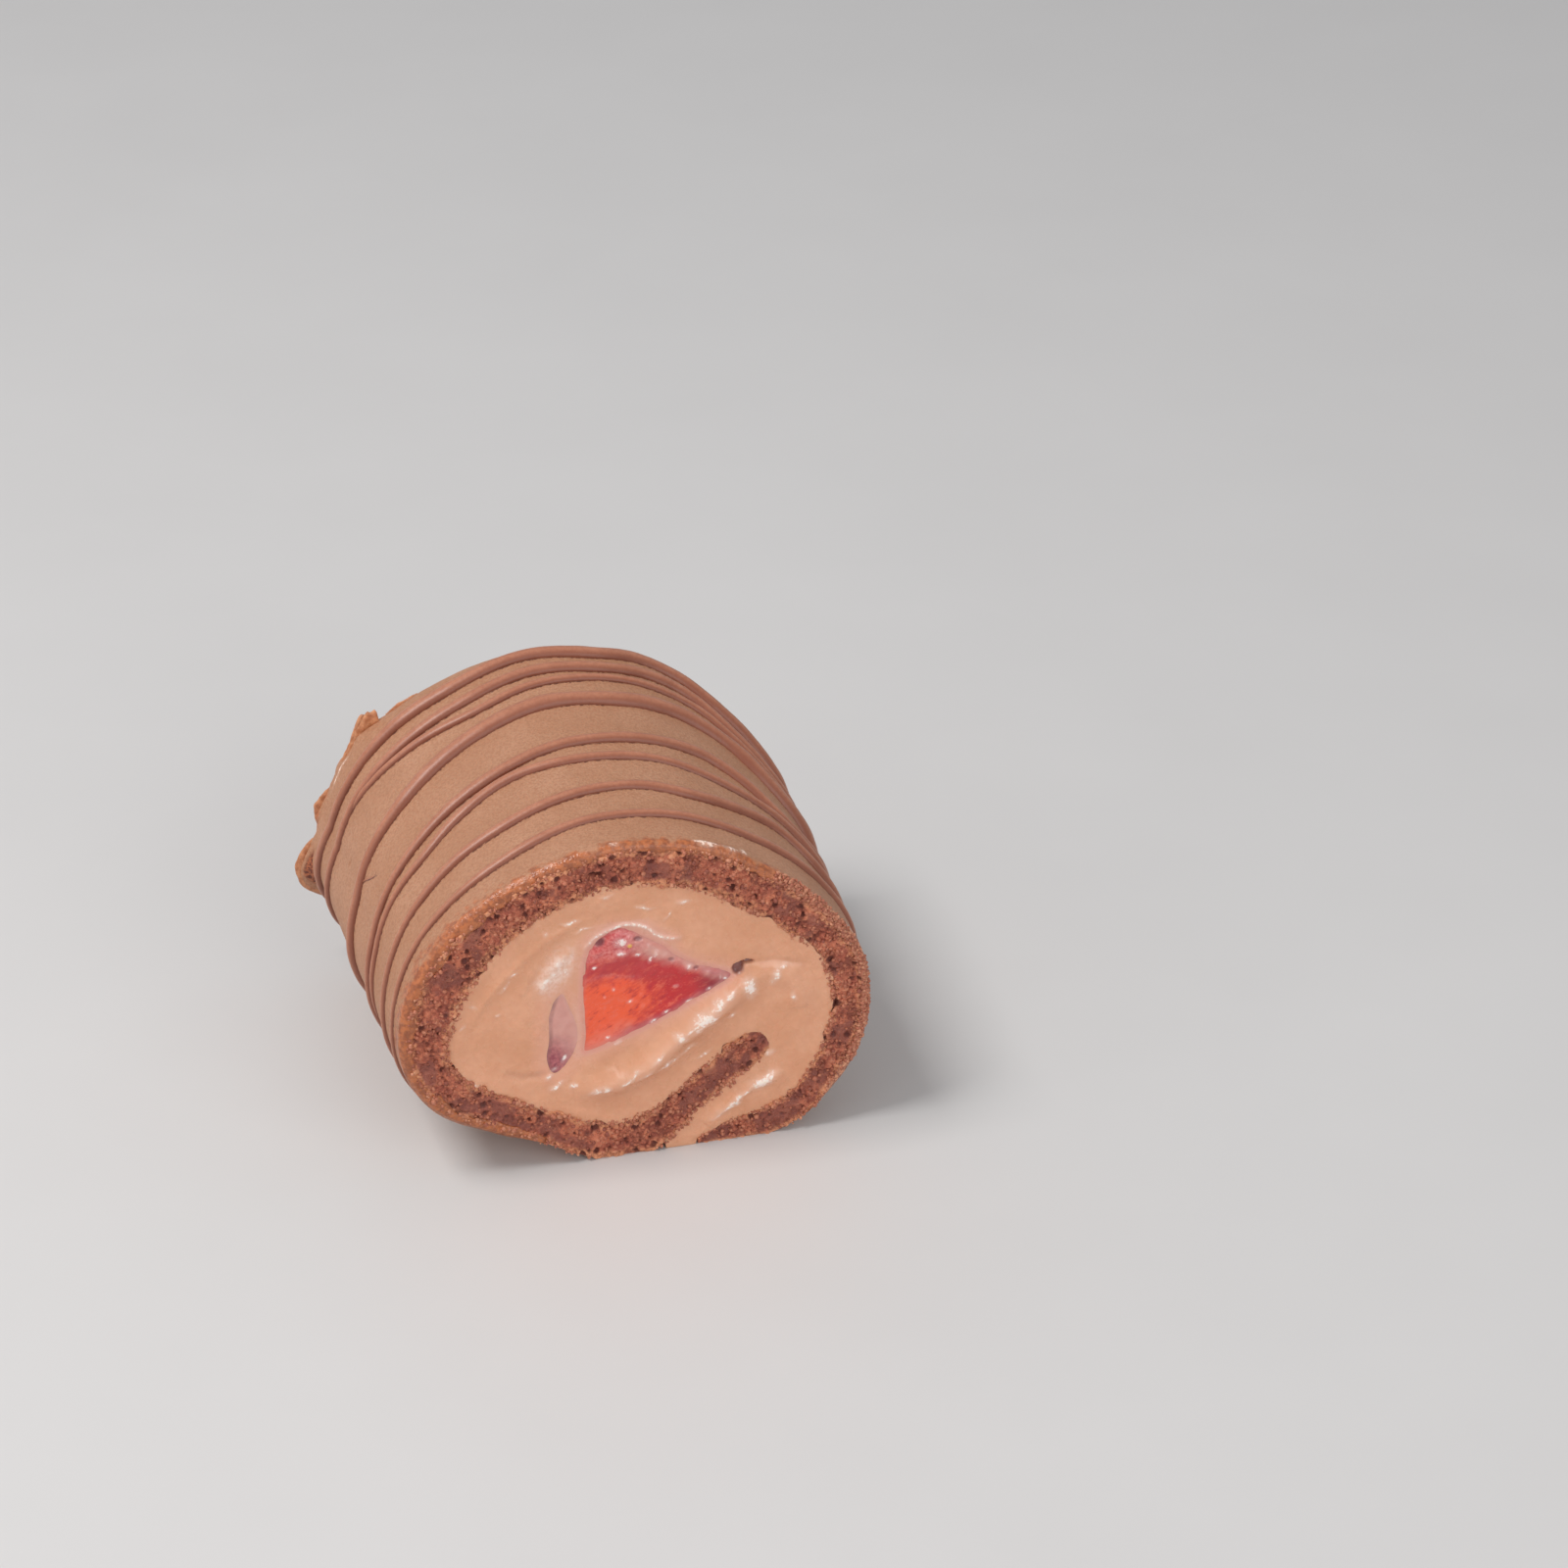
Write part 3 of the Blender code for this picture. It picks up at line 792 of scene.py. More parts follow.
def sheet_sides(sheet, lift, y=None):
    """The sheet's outer and inner sides, lifted off the sponge, and lumpy near a cut where y is given."""
    outer = sheet.line[:, 2] / 2 + lift
    inner = outer
    if y is not None:
        end = 90.0 if y > ROLL_LENGTH / 2 else 0.0
        near_cut = ease(5.0, 1.0, min(y, ROLL_LENGTH - y))
        near_cut = near_cut * ease(0, 2.5, sheet.run[-1] - sheet.run) * ease(8, 14, sheet.run)
        lumps = []
        for side in range(2):
            spots = beside(sheet.run, end, 40.0 * side)
            lumps.append(near_cut * (0.46 * bumps(spots, 3.0, 12) + 0.32 * bumps(spots, 1.2, 13)))
        inner = inner + lumps[0]
        outer = outer + lumps[1] * ease(COAT_SPAN[1] + 2, COAT_SPAN[1] + 6, sheet.run)
    middle = sheet.line[:, :2]
    return middle + outer[:, None] * sheet.across, middle - inner[:, None] * sheet.across


def sheet_tip(sheet, lift, facets):
    """The round end of the sheet at the middle of the roll, from its inner side to its outer side."""
    across = sheet.across[-1]
    ahead = np.array([-across[1], across[0]])
    turns = np.linspace(0, math.pi, facets + 1)[1:-1, None]
    x, z, thick = sheet.line[-1]
    return (x, z) + (thick / 2 + lift) * (ahead * np.sin(turns) - across * np.cos(turns))


def sponge_loops(y):
    """Outline of the sponge, whose torn outside follows the coat at the back rim."""
    outer, inner = sheet_sides(FINE_SHEET, 0, y)
    outer = outer + FINE_SHEET.across * (FOLLOW * flare(FINE_SHEET.run, y))[:, None]
    outer[:, 1] = np.maximum(outer[:, 1], 0)
    facets = int(math.pi * FINE_SHEET.line[-1, 2] / 2 / SPONGE_STEP)
    return [np.vstack([inner, sheet_tip(FINE_SHEET, 0, facets), outer[::-1]])]


# Torn slots in the cut crumb: half length, half width, depth, a place on the cut end and a turn in degrees
CRUMB_SLOTS = [
    (2.2, 0.45, 1.2, -23.6, 23.5, 55), (0.8, 0.4, 0.8, -20.3, 27.9, 40),
    (1.1, 0.35, 0.8, 27.6, 19.3, 80), (1.6, 0.35, 0.8, 20.9, 8.0, 40), (0.9, 0.35, 0.7, 23.6, 11.0, 45),
    (0.7, 0.45, 0.8, -24.3, 18.4, 60), (0.7, 0.5, 0.8, -16.7, 33.2, 20),
    (0.6, 0.4, 0.7, 13.8, 39.9, -30), (0.9, 0.4, 0.7, -4.8, 44.6, 5),
]


def long_spots(points, places, least_width, shape):
    """The strongest of some long spots at section points. shape makes strengths out of distances."""
    value = np.zeros(len(points))
    for length, width, most, x, z, turn in places:
        ahead = np.array([math.cos(math.radians(turn)), math.sin(math.radians(turn))])
        off = points - (x, z)
        aside = off[:, 0] * ahead[1] - off[:, 1] * ahead[0]
        reach = np.hypot(off @ ahead / length, aside / max(width, least_width))
        value = np.maximum(value, most * shape(reach))
    return value


def slots(points, places):
    """How deep the given slots reach at section points, from 0 to each slot's own depth."""
    return long_spots(points, places, 0, lambda reach: ease(1.25, 0.55, reach))


# Wet lights are at least this much wide on each side, so that the mesh can carry them
LEAST_LIGHT = 0.2


def lights(points, places):
    """Soft lights at section points, strongest in the middle of each."""
    return long_spots(points, places, LEAST_LIGHT, lambda reach: np.exp(-0.6 * reach**2))


def crumb_relief(points, to_edge, seed):
    """Fine open crumb: small grains with pores between them, a few torn slots and dark pressed patches."""
    flat = on_layer(points, seed)
    off = FINE_SHEET.nearest(points)[1]
    swell = 0.18 * bumps(flat, 2.8, 20 + seed) + 0.22 * bumps(flat, 1.3, 22 + seed)
    near, following, _ = cells(flat, 0.95, 24 + seed)
    grains = 0.3 * ease(0.0, 0.5, following - near) + 0.1 * bumps(flat, 0.4, 26 + seed)
    hole, _, number = cells(flat, 1.45, 30 + seed)
    pore = ease(0.0, 0.32, 0.12 + 0.42 * number - hole + 0.16 * bumps(flat, 0.6, 28))
    small, _, small_number = cells(flat, 0.62, 40 + seed)
    pits = ease(0.0, 0.4, 0.06 + 0.46 * small_number - small)
    places = CRUMB_SLOTS
    if seed == BACK_END:
        places = [(*spot[:3], -0.9 * spot[3], spot[4], -spot[5]) for spot in CRUMB_SLOTS]
    torn = slots(points + 0.3 * shifts(flat, 0.8, 45), places)
    pressed = ease(0.0, 0.5, bumps(flat, 3.6, 48 + seed) + 0.5 * bumps(flat, 1.1, 44 + seed))
    pressed = pressed * ease(0.95, 0.5, np.abs(off))
    out = -0.02 + swell + (1 - 0.6 * pressed) * grains - 0.38 * pore - 0.22 * pits - torn
    out = np.where(out < 0, out * ease(-0.3, 0.6, to_edge), out)
    # How much painted shade the pores, pits and torn slots get
    dark = np.clip(0.85 * pore + 0.6 * pits + 1.2 * torn, 0, 1)
    # high, the crumb's height, drives the finish's painted light and shade
    return out, {"pore": dark, "edge": ease(0.4, 1.0, np.abs(off)), "pressed": pressed, "high": out - 0.12}


# Loose grains of crumb on the cut faces: how many on the cut end and on the back, and their radii
GRAIN_COUNTS = (3600, 2600)
GRAIN_SIZES = (0.13, 0.36)
GRAIN_SEED = 7

# Where crumb hides the coat's cut edge: distances along the sheet, and how many grains lie there at each end
BARE_SPAN = (23.0, 55.0)
BARE_COUNT = 900


def lip_front(out):
    """How far the coat's rounded cut edge lies behind the cut, at a distance out of the sponge."""
    drop = np.clip((COAT_REACH - out) / LIP_DROP, 0, 1)
    return np.where(out < COAT_REACH - LIP_DROP, -0.2, LIP_DEPTH * (1 - np.sqrt(1 - (1 - drop) ** 2)))


def grain_spots():
    """Places for the grains as loose points, with a radius and a shade for each."""
    random = np.random.default_rng(GRAIN_SEED)
    places, sizes, shades = [], [], []
    for y in (0.0, ROLL_LENGTH):
        along = random.uniform(*BARE_SPAN, BARE_COUNT)
        out = random.uniform(-0.1, COAT_REACH, BARE_COUNT)
        spot, normal = FINE_SHEET.at(along)
        depth = lip_front(out)
        section = spot[:, :2] + (spot[:, 2] / 2 + out)[:, None] * normal
        spots = place(section, np.abs(y - np.maximum(depth, 0)))
        spots[:, 1] += (1 if y else -1) * 0.2 * (depth < 0) * MM
        places.append(spots)
        sizes.append(random.uniform(*GRAIN_SIZES, BARE_COUNT) * 0.85 * MM)
        shades.append(0.3 + random.random(BARE_COUNT))
    for seed, y, count in ((CUT_END, 0.0, GRAIN_COUNTS[0]), (BACK_END, ROLL_LENGTH, GRAIN_COUNTS[1])):
        along = random.uniform(0.5, FINE_SHEET.run[-1], count)
        at_edge = random.random(count) < 0.4
        side = random.choice([-1, 1], count)
        off = np.where(at_edge, side * random.normal(0.98, 0.08, count), random.uniform(-0.97, 0.97, count))
        spot, normal = FINE_SHEET.at(along)
        points = spot[:, :2] + (off * spot[:, 2] / 2)[:, None] * normal
        to_edge = np.clip(1 - np.abs(off), 0, 1) * spot[:, 2] / 2
        out, numbers = crumb_relief(points, to_edge, seed)
        size = random.uniform(0, 1, count) ** 2 * (GRAIN_SIZES[1] - GRAIN_SIZES[0]) + GRAIN_SIZES[0]
        size *= np.where(np.abs(off) > 1, 0.8, 1)
        kept = (numbers["pore"] < 0.35) & (points[:, 1] > 0.5)
        kept &= numbers["pressed"] < 0.3 + random.random(count)
        spots = place(points, y)
        spots[:, 1] += (1 if seed == BACK_END else -1) * (out + 0.2 * size) * MM
        places.append(spots[kept])
        sizes.append(size[kept] * MM)
        shade = random.random(count) + 0.3 * ease(0.75, 1.0, np.abs(off))
        shades.append(shade[kept])
    mesh = bpy.data.meshes.new("grain_spots")
    mesh.from_pydata(np.vstack(places).tolist(), [], [])
    carry(mesh, "size", np.concatenate(sizes))
    carry(mesh, "shade", np.concatenate(shades))
    return mesh


def make_grains(finish):
    """Small uneven balls of crumb scattered over the cut sponge."""
    recipe = Recipe("crumb_grains", Seed=5, Detail=1, Flattest=0.6, Longest=1.35, Full_turn=2 * math.pi)
    seed, vector = recipe.given("Seed"), "FLOAT_VECTOR"
    ball = recipe.node("GeometryNodeMeshIcoSphere", {"Radius": 1.0, "Subdivisions": recipe.given("Detail")})
    low, high, turn = (recipe.node("ShaderNodeCombineXYZ", {axis: recipe.given(label) for axis in "XYZ"})
                       for label in ("Flattest", "Longest", "Full_turn"))
    stretch = recipe.node("FunctionNodeRandomValue", {0: low, 1: high, "Seed": seed}, data_type=vector)
    turned = recipe.node("FunctionNodeRandomValue", {1: turn, "Seed": seed}, data_type=vector)
    size = recipe.node("ShaderNodeVectorMath", {0: stretch, 3: recipe.read("size")}, operation="SCALE")
    points = recipe.node("GeometryNodeMeshToPoints", {"Mesh": recipe.given("Geometry")})
    spread = recipe.node("GeometryNodeInstanceOnPoints", {
        "Points": points, "Instance": ball, "Rotation": turned, "Scale": size})
    recipe.finish(spread, finish)
    piece = recipe.run("sponge_grains", grain_spots())
    piece.data.shade_smooth()
    return piece


# Cream filling

CREAM_STATIONS = (0, 0.6, 2.5, 7, 13, 19, 25, 31, 37, 43, 49, 53.5, 56.5, ROLL_LENGTH)
CREAM_STEP = 0.25
CREAM_FACES = (0.2, 0.3)
CREAM_SHEET = Sheet(0.25)


def fruit_loop(corners, step, lift, y):
    """Outline of a piece of fruit, which swells and turns a little along the roll."""
    loop = smooth_loop(corners, step)
    middle = loop.mean(axis=0)
    side = np.roll(loop, -1, axis=0) - np.roll(loop, 1, axis=0)
    normal = np.column_stack([side[:, 1], -side[:, 0]]) / np.linalg.norm(side, axis=1)[:, None]
    normal *= np.sign(((loop - middle) * normal).sum())
    depth = y / ROLL_LENGTH
    turn = FRUIT_TURN * math.sin(math.pi * depth)
    swell = 1 - FRUIT_PINCH * math.sin(math.pi * depth) + FRUIT_SWELL * math.sin(2 * math.pi * depth)
    spin = np.array([[math.cos(turn), -math.sin(turn)], [math.sin(turn), math.cos(turn)]])
    return middle + (swell * (loop - middle) + np.reshape(lift, (-1, 1)) * normal) @ spin.T


def cream_loops(y):
    """Outline of the filling, smeared a ragged little way over the sponge and the fruit."""
    edge = on_layer(np.column_stack([CREAM_SHEET.run, CREAM_SHEET.run]), 3 + round(y))
    ragged = np.clip(0.05 + 0.14 * bumps(edge, 1.6, 70) + 0.1 * bumps(edge, 0.7, 71), -0.1, 0.3)
    outer, inner = sheet_sides(CREAM_SHEET, -ragged, y)
    under = outer[::-1]
    bare = sheet_sides(CREAM_SHEET, 0)[0][::-1]
    seam = np.argmax((bare[:, 1] < SEAM_HEIGHT) & (bare[:, 0] > 0))
    foot = [(under[seam, 0], 0.0), (CREAM_SHEET.line[0, 0] - GAP, 0.0)]
    tip = sheet_tip(CREAM_SHEET, -0.1, int(math.pi * CREAM_SHEET.line[-1, 2] / 2 / CREAM_STEP))
    holes = []
    for corners in (BERRY, SLIVER):
        loop = smooth_loop(corners, CREAM_STEP)
        lap, uneven = (0.22, 0.18) if corners is BERRY else (0.12, 0.08)
        lap = lap + uneven * bumps(on_layer(loop, 5 + round(y)), 1.5, 74)
        holes.append(fruit_loop(corners, CREAM_STEP, -lap, y))
    return [np.vstack([inner, tip, under[:seam + 1], foot])] + holes


# Folds and creases in the cut cream: width, height, and a route over the cut end
CREAM_FOLDS = [
    (3.8, 1.1, [(-8.5, 11.2), (-5.0, 11.6), (-1.0, 12.6), (3.0, 15.0), (6.4, 17.7), (9.9, 20.3),
                (12.8, 22.6), (15.4, 24.6), (17.2, 25.8)]),
    (1.3, 0.3, [(-1.2, 10.6), (1.6, 11.8), (4.4, 13.2), (7.0, 14.8), (9.9, 16.9), (12.0, 18.6)]),
    (3.2, 0.6, [(15.4, 24.6), (17.4, 25.6), (19.6, 25.6), (21.6, 24.6), (22.8, 22.6), (23.0, 19.6)]),
    (0.9, -0.16, [(13.6, 27.4), (15.4, 27.9), (17.3, 27.7), (19.3, 27.6), (22.3, 26.9), (24.5, 26.1)]),
    (1.2, -0.25, [(-17.8, 15.9), (-16.4, 15.2), (-14.8, 14.7), (-13.1, 14.7), (-12.0, 14.9)]),
    (1.8, 0.5, [(20.6, 9.9), (19.3, 9.1), (16.6, 8.3), (13.8, 6.5), (11.1, 4.5), (9.6, 3.0)]),
    (1.2, 0.22, [(-22.0, 24.2), (-19.6, 28.2), (-15.8, 32.2), (-11.2, 35.8), (-6.6, 37.8)]),
    (1.6, 0.3, [(-12.6, 27.4), (-11.8, 30.2), (-9.8, 32.4), (-8.2, 33.6)]),
]

# Painted wet highlights on the cut cream, over small raised bumps: half length, half width, strength, place
# on the cut end and turn in degrees
CREAM_GLINTS = [
    (1.5, 1.0, 1.1, 9.6, 20.2, 35), (1.0, 0.6, 1.0, 11.4, 22.3, 45), (0.8, 0.4, 1.0, 12.9, 23.6, 45),
    (0.65, 1.1, 1.1, 15.9, 24.0, 10), (0.5, 0.9, 1.1, 6.4, 17.8, 60), (2.2, 0.2, 0.8, 7.9, 18.9, 38),
    (1.0, 0.25, 0.9, 3.0, 15.1, 40), (0.4, 0.2, 0.9, 13.6, 20.0, 35), (1.4, 0.14, 0.8, 4.6, 13.7, 27),
    (0.9, 0.2, 0.9, -0.1, 12.9, 45), (0.6, 0.2, 0.9, -1.4, 12.3, 40), (0.35, 0.25, 0.9, 0.3, 13.7, 50),
    (1.0, 0.16, 0.8, 1.5, 12.7, 30), (0.8, 0.14, 0.7, 9.6, 14.3, 30), (1.2, 0.12, 0.7, 7.2, 15.5, 32),
    (0.8, 0.35, 1.0, -5.5, 11.2, 15), (0.45, 0.25, 1.0, -4.0, 11.4, 20),
    (0.9, 0.32, 1.0, -10.8, 12.6, 25), (0.35, 0.25, 0.9, -11.7, 14.1, 60),
    (0.35, 0.25, 0.9, -8.5, 12.5, 60), (0.5, 0.2, 0.9, -2.2, 18.2, 25), (0.8, 0.2, 0.9, -6.7, 36.4, 10),
    (0.9, 0.16, 0.8, -8.3, 37.7, 5), (0.3, 0.3, 0.6, -11.6, 36.4, 0), (0.9, 0.2, 0.8, 1.8, 38.7, -10),
    (0.7, 0.25, 0.8, 7.0, 38.8, -15), (0.7, 0.14, 0.7, -3.3, 41.1, 5), (0.6, 0.16, 0.7, 5.0, 36.9, 50),
    (0.6, 0.2, 0.8, -16.1, 30.9, 30), (0.8, 0.16, 0.7, -17.4, 29.3, 50),
    (0.4, 0.35, 0.6, -21.7, 26.9, 0), (0.2, 0.2, 0.8, -18.4, 25.1, 0), (0.4, 1.0, 0.9, 19.3, 25.4, -15),
    (0.6, 0.3, 0.9, 20.4, 26.5, 10), (0.3, 0.5, 0.8, 22.1, 21.8, 0), (0.5, 0.16, 0.7, -23.2, 23.9, 50),
    (0.8, 0.2, 0.8, -22.0, 15.0, -40), (1.5, 0.7, 1.0, 17.9, 8.8, 25), (0.5, 0.35, 0.9, 18.7, 12.9, 30),
    (1.4, 0.3, 0.9, 15.2, 7.1, 35), (1.9, 0.45, 1.0, 13.3, 5.8, 35), (1.0, 0.25, 0.9, 11.6, 4.5, 40),
    (1.4, 0.5, 0.75, -10.2, 31.4, 60), (0.9, 0.5, 0.7, -11.8, 29.4, 40),
    (0.6, 0.4, 0.7, -9.2, 30.4, 60),
]

# A milky patch of cream between the berry and the sliver's top, in the same numbers
MILKY = [
    (2.4, 1.3, 1.0, -10.4, 30.6, 60), (1.1, 0.9, 0.9, -12.0, 28.8, 40), (1.0, 0.7, 0.8, -8.6, 32.4, 70),
]

# The rim of cream over the top of the berry, which carries a painted wet highlight, and the hollow pocket
# beside the berry's right tip, which is painted with shade
RIM_ARC = [
    (-6.8, 33.3), (-5.9, 34.2), (-5.1, 35.0), (-3.7, 35.7), (-2.5, 36.1), (-1.3, 36.4), (0.0, 36.3),
    (1.4, 35.8), (2.5, 35.0), (3.4, 34.1), (5.0, 33.4), (6.9, 33.3),
]
POCKET = [
    (1.0, 0.75, 1.2, 14.5, 27.2, 25), (0.7, 0.4, 1.0, 15.8, 27.7, 5),
]


def distances(points, line):
    """Distance from each section point to each point of a line."""
    return np.linalg.norm(points[:, None] - line[None], axis=2)


def ridge(points, width, height, route):
    """A rounded ridge along a route on the cut end, fading at its ends."""
    line = smooth_line(route, 0.2)
    reach = distances(points, line)
    spot = reach.argmin(axis=1)
    share = spot / (len(line) - 1)
    fade = np.clip(np.minimum(share, 1 - share) / 0.2, 0, 1) ** 0.5
    return height * fade * np.exp(-(reach.min(axis=1) / (width / 2)) ** 2)


def cream_relief(points, to_edge, seed):
    """Cut and spread cream: folds round the fruit, streaks along the sheet, and small wet bumps with painted
    highlights.
    """
    flat = on_layer(points, seed)
    along, off = CREAM_SHEET.nearest(points)
    streaks = bumps(np.column_stack([along / 7, off / 0.35, np.full(len(off), 2.0 * seed)]), 1.0, 80)
    out = 0.06 + 0.16 * bumps(flat, 4.5, 81) + 0.07 * bumps(flat, 1.5, 82) + 0.04 * streaks
    fold = np.zeros(len(points))
    crease = np.zeros(len(points))
    for width, height, route in CREAM_FOLDS:
        raised = ridge(points, width, height, route)
        fold = np.maximum(fold, raised)
        crease = np.maximum(crease, -raised)
    fold *= 1 + 0.25 * bumps(flat, 3.2, 87)
    out += fold - crease
    hollow = 1.3 * crease
    y = 0 if seed == CUT_END else ROLL_LENGTH
    loops = [fruit_loop(corners, 0.3, 0, y) for corners in (BERRY, SLIVER)]
    by_berry, by_sliver = (distances(points, loop).min(axis=1) for loop in loops)
    by_fruit = np.minimum(by_berry, by_sliver)
    out = out * ease(-0.4, 1.6, by_fruit) * ease(-0.25, 0.7, to_edge)
    # A raised rim over the berry's top, which also carries a painted wet highlight
    rim = ridge(points, 0.6, 1.0, RIM_ARC)
    ragged = 0.22 * bumps(flat, 0.7, 84)
    moved = points + shifts(flat, 1.1, 85) * 0.35
    pocket = slots(moved, POCKET)
    shade = ease(0.2, 1.05, lights(moved, POCKET))
    glint = np.maximum(lights(moved, CREAM_GLINTS), 0.85 * rim)
    milky = lights(moved, MILKY)
    # The flank below the main fold, a little sunk and painted with shade
    flank = ridge(points + (-0.9, 1.7), 3.4, 1.0, CREAM_FOLDS[0][2])
    out += 0.12 * glint + 0.1 * rim - 0.6 * pocket - 0.18 * flank * (1 - np.clip(fold, 0, 1))
    film = ridge(points, 2.4, 1.0, RIM_ARC) * (points[:, 1] < 37)
    between = ease(1.8, 0.4, by_sliver) * ease(2.0, 0.6, by_berry)
    film = np.clip(film + ease(0.9, 0.1, by_berry) + between, 0, 1)
    bled = ease(0.7, -0.1, by_berry + 0.5 * ragged)
    return out, {"stain": ease(3.0, 0.2, by_fruit), "hollow": np.clip(hollow, 0, 1), "pocket": shade,
                 "glint": glint, "crest": np.clip(fold, 0, 1) ** 2, "flank": flank, "milky": milky,
                 "bled": bled, "film": film}


# Fruit

FRUIT_STATIONS = (0, 0.5, 3, 10, 18, 27, 36, 45, 54, 56.7, ROLL_LENGTH)
BERRY_STEP = 0.18
BERRY_FACES = (0.15, 0.2)

# Lines across the cut berry: the film of cream lies above the first, and a dusky band between the two
FILM_LINE = [
    (-7.3, 29.9), (-6.0, 30.7), (-4.3, 31.4), (-2.6, 31.2), (-0.9, 31.5), (0.7, 31.2), (2.7, 30.5),
    (4.6, 29.9), (6.3, 29.0), (8.0, 28.1), (10.3, 27.1), (12.5, 25.7),
]
BAND_LINE = [
    (-7.3, 28.2), (-3.8, 28.8), (-1.3, 28.3), (1.3, 27.9), (5.0, 27.0), (9.0, 25.9), (13.0, 25.0),
]
BERRY_PITS = [
    (0.75, 0.6, 0.5, -4.4, 34.2, 40), (0.7, 0.35, 0.4, 0.7, 34.0, -10), (0.5, 0.6, 0.3, -6.7, 30.6, 0),
    (0.4, 0.3, 0.3, 8.6, 28.2, 0), (0.5, 0.3, 0.3, 5.2, 30.1, -20),
]
# Painted wet highlights on the cut berry, over small raised bumps, in the same numbers as the cream's
BERRY_GLINTS = [
    (0.7, 0.5, 1.0, -1.6, 33.8, 0), (0.6, 0.35, 1.0, -1.6, 32.1, -20), (0.4, 0.25, 1.0, 0.7, 31.5, 0),
    (0.22, 0.45, 1.0, 3.0, 31.2, -20), (0.2, 0.45, 1.0, 2.4, 30.5, -20),
    (0.35, 0.28, 1.0, 7.6, 28.5, 0), (0.3, 0.16, 1.0, 12.6, 25.9, -20), (0.14, 0.3, 0.9, 11.9, 26.2, 0),
    (0.18, 0.14, 0.9, -2.7, 26.6, 0), (0.35, 0.12, 0.8, -0.5, 24.4, 30),
    (0.14, 0.14, 0.8, -3.9, 25.5, 0), (0.5, 0.13, 0.9, 2.6, 20.7, 25), (0.45, 0.13, 0.9, 4.4, 21.9, 25),
    (0.5, 0.13, 0.9, 7.6, 23.1, 30), (0.3, 0.12, 0.9, 10.3, 24.6, 30), (0.3, 0.13, 0.9, -3.6, 19.1, 20),
    (0.3, 0.13, 0.8, 5.8, 25.7, 10), (0.3, 0.14, 0.9, -5.2, 30.3, 20),
]
SEED_SPOT = (-0.45, 33.2)


def above(points, line):
    """How far section points lie over a line that runs from left to right."""
    x, z = np.array(line).T
    return points[:, 1] - np.interp(points[:, 0], x, z)


def berry_relief(points, to_edge, seed):
    """Juicy flesh, orange in the low left half, darker to the right and filmed over along its top edge."""
    flat = on_layer(points, seed)
    x, z = points.T
    slant = np.column_stack([(x + 0.5 * z) / 2.4, z - 0.5 * x, LAYER_GAP * flat[:, 2]])
    fibres = bumps(slant, 0.55, 92)
    out = 0.02 + 0.14 * bumps(flat, 2.2, 90) + 0.06 * bumps(flat, 0.8, 91) + 0.04 * fibres
    turned = np.column_stack([flat @ (0.77, 0.64, 0), flat @ (-0.64, 0.77, 0), flat[:, 2]])
    wobble = 0.9 * bumps(turned, 2.4, 93) + 0.5 * bumps(turned, 0.9, 94) + 0.2 * fibres
    over_film = above(points, FILM_LINE) + 0.7 * wobble
    over_band = above(points, BAND_LINE) + 0.8 * wobble
    film = ease(-0.8, 1.4, over_film)
    band = ease(-1.6, 1.4, over_band) * (1 - film) * ease(9.0, -1.0, x + wobble)
    heart = ease(8.0, -2.5, x + 0.4 * (z - 23) + 1.4 * wobble) * (1 - 0.75 * band)
    heart *= 1 - ease(2.6, 0.1, to_edge + 0.4 * wobble) * (0.15 + 0.85 * ease(-4.0, 1.0, x))
    pale = ease(22.8, 18.6, z - 0.3 * x + wobble) * ease(4.0, -1.0, x)
    deep = ease(7.0, 14.0, x + 1.5 * wobble)
    fringe = ease(1.4, 0.1, to_edge + 0.4 * wobble) * ease(-5.0, 0.0, x) * ease(28.6, 27.2, z)
    veil = film * ease(-1.0, 2.5, x + wobble)
    along_edge = ease(1.2, 0.1, to_edge + 0.5 * wobble) * ease(-1.0, 1.5, x)
    veil = np.maximum(veil, along_edge * ease(-2.2, -1.0, over_film))
    pits = slots(points, BERRY_PITS)
    glint = lights(points, BERRY_GLINTS)
    kernel = ease(0.42, 0.2, np.linalg.norm(points - SEED_SPOT, axis=1)) * (seed == CUT_END)
    out = out + 0.3 * film * ease(0, 1.5, to_edge) - 0.4 * pits + 0.1 * glint + 0.15 * kernel
    out = out * ease(-0.3, 1.2, to_edge) - 0.01
    line = ridge(points, 0.6, 0.6, BAND_LINE[:4])
    rim = ease(0.8, 0.1, to_edge + 0.35 * wobble)
    return out, {"heart": heart, "film": np.clip(film + 0.6 * line, 0, 1), "rim": rim, "band": band,
                 "pale": pale, "deep": 0.85 * deep, "fringe": fringe, "veil": veil,
                 "pit": np.clip(2.2 * pits, 0, 1), "glint": glint, "kernel": kernel}


# Painted wet highlights on the sliver, in the same numbers as the cream's
SLIVER_GLINTS = [(0.5, 0.15, 1.0, -9.6, 16.8, 60), (0.4, 0.2, 1.0, -11.0, 15.3, 30)]


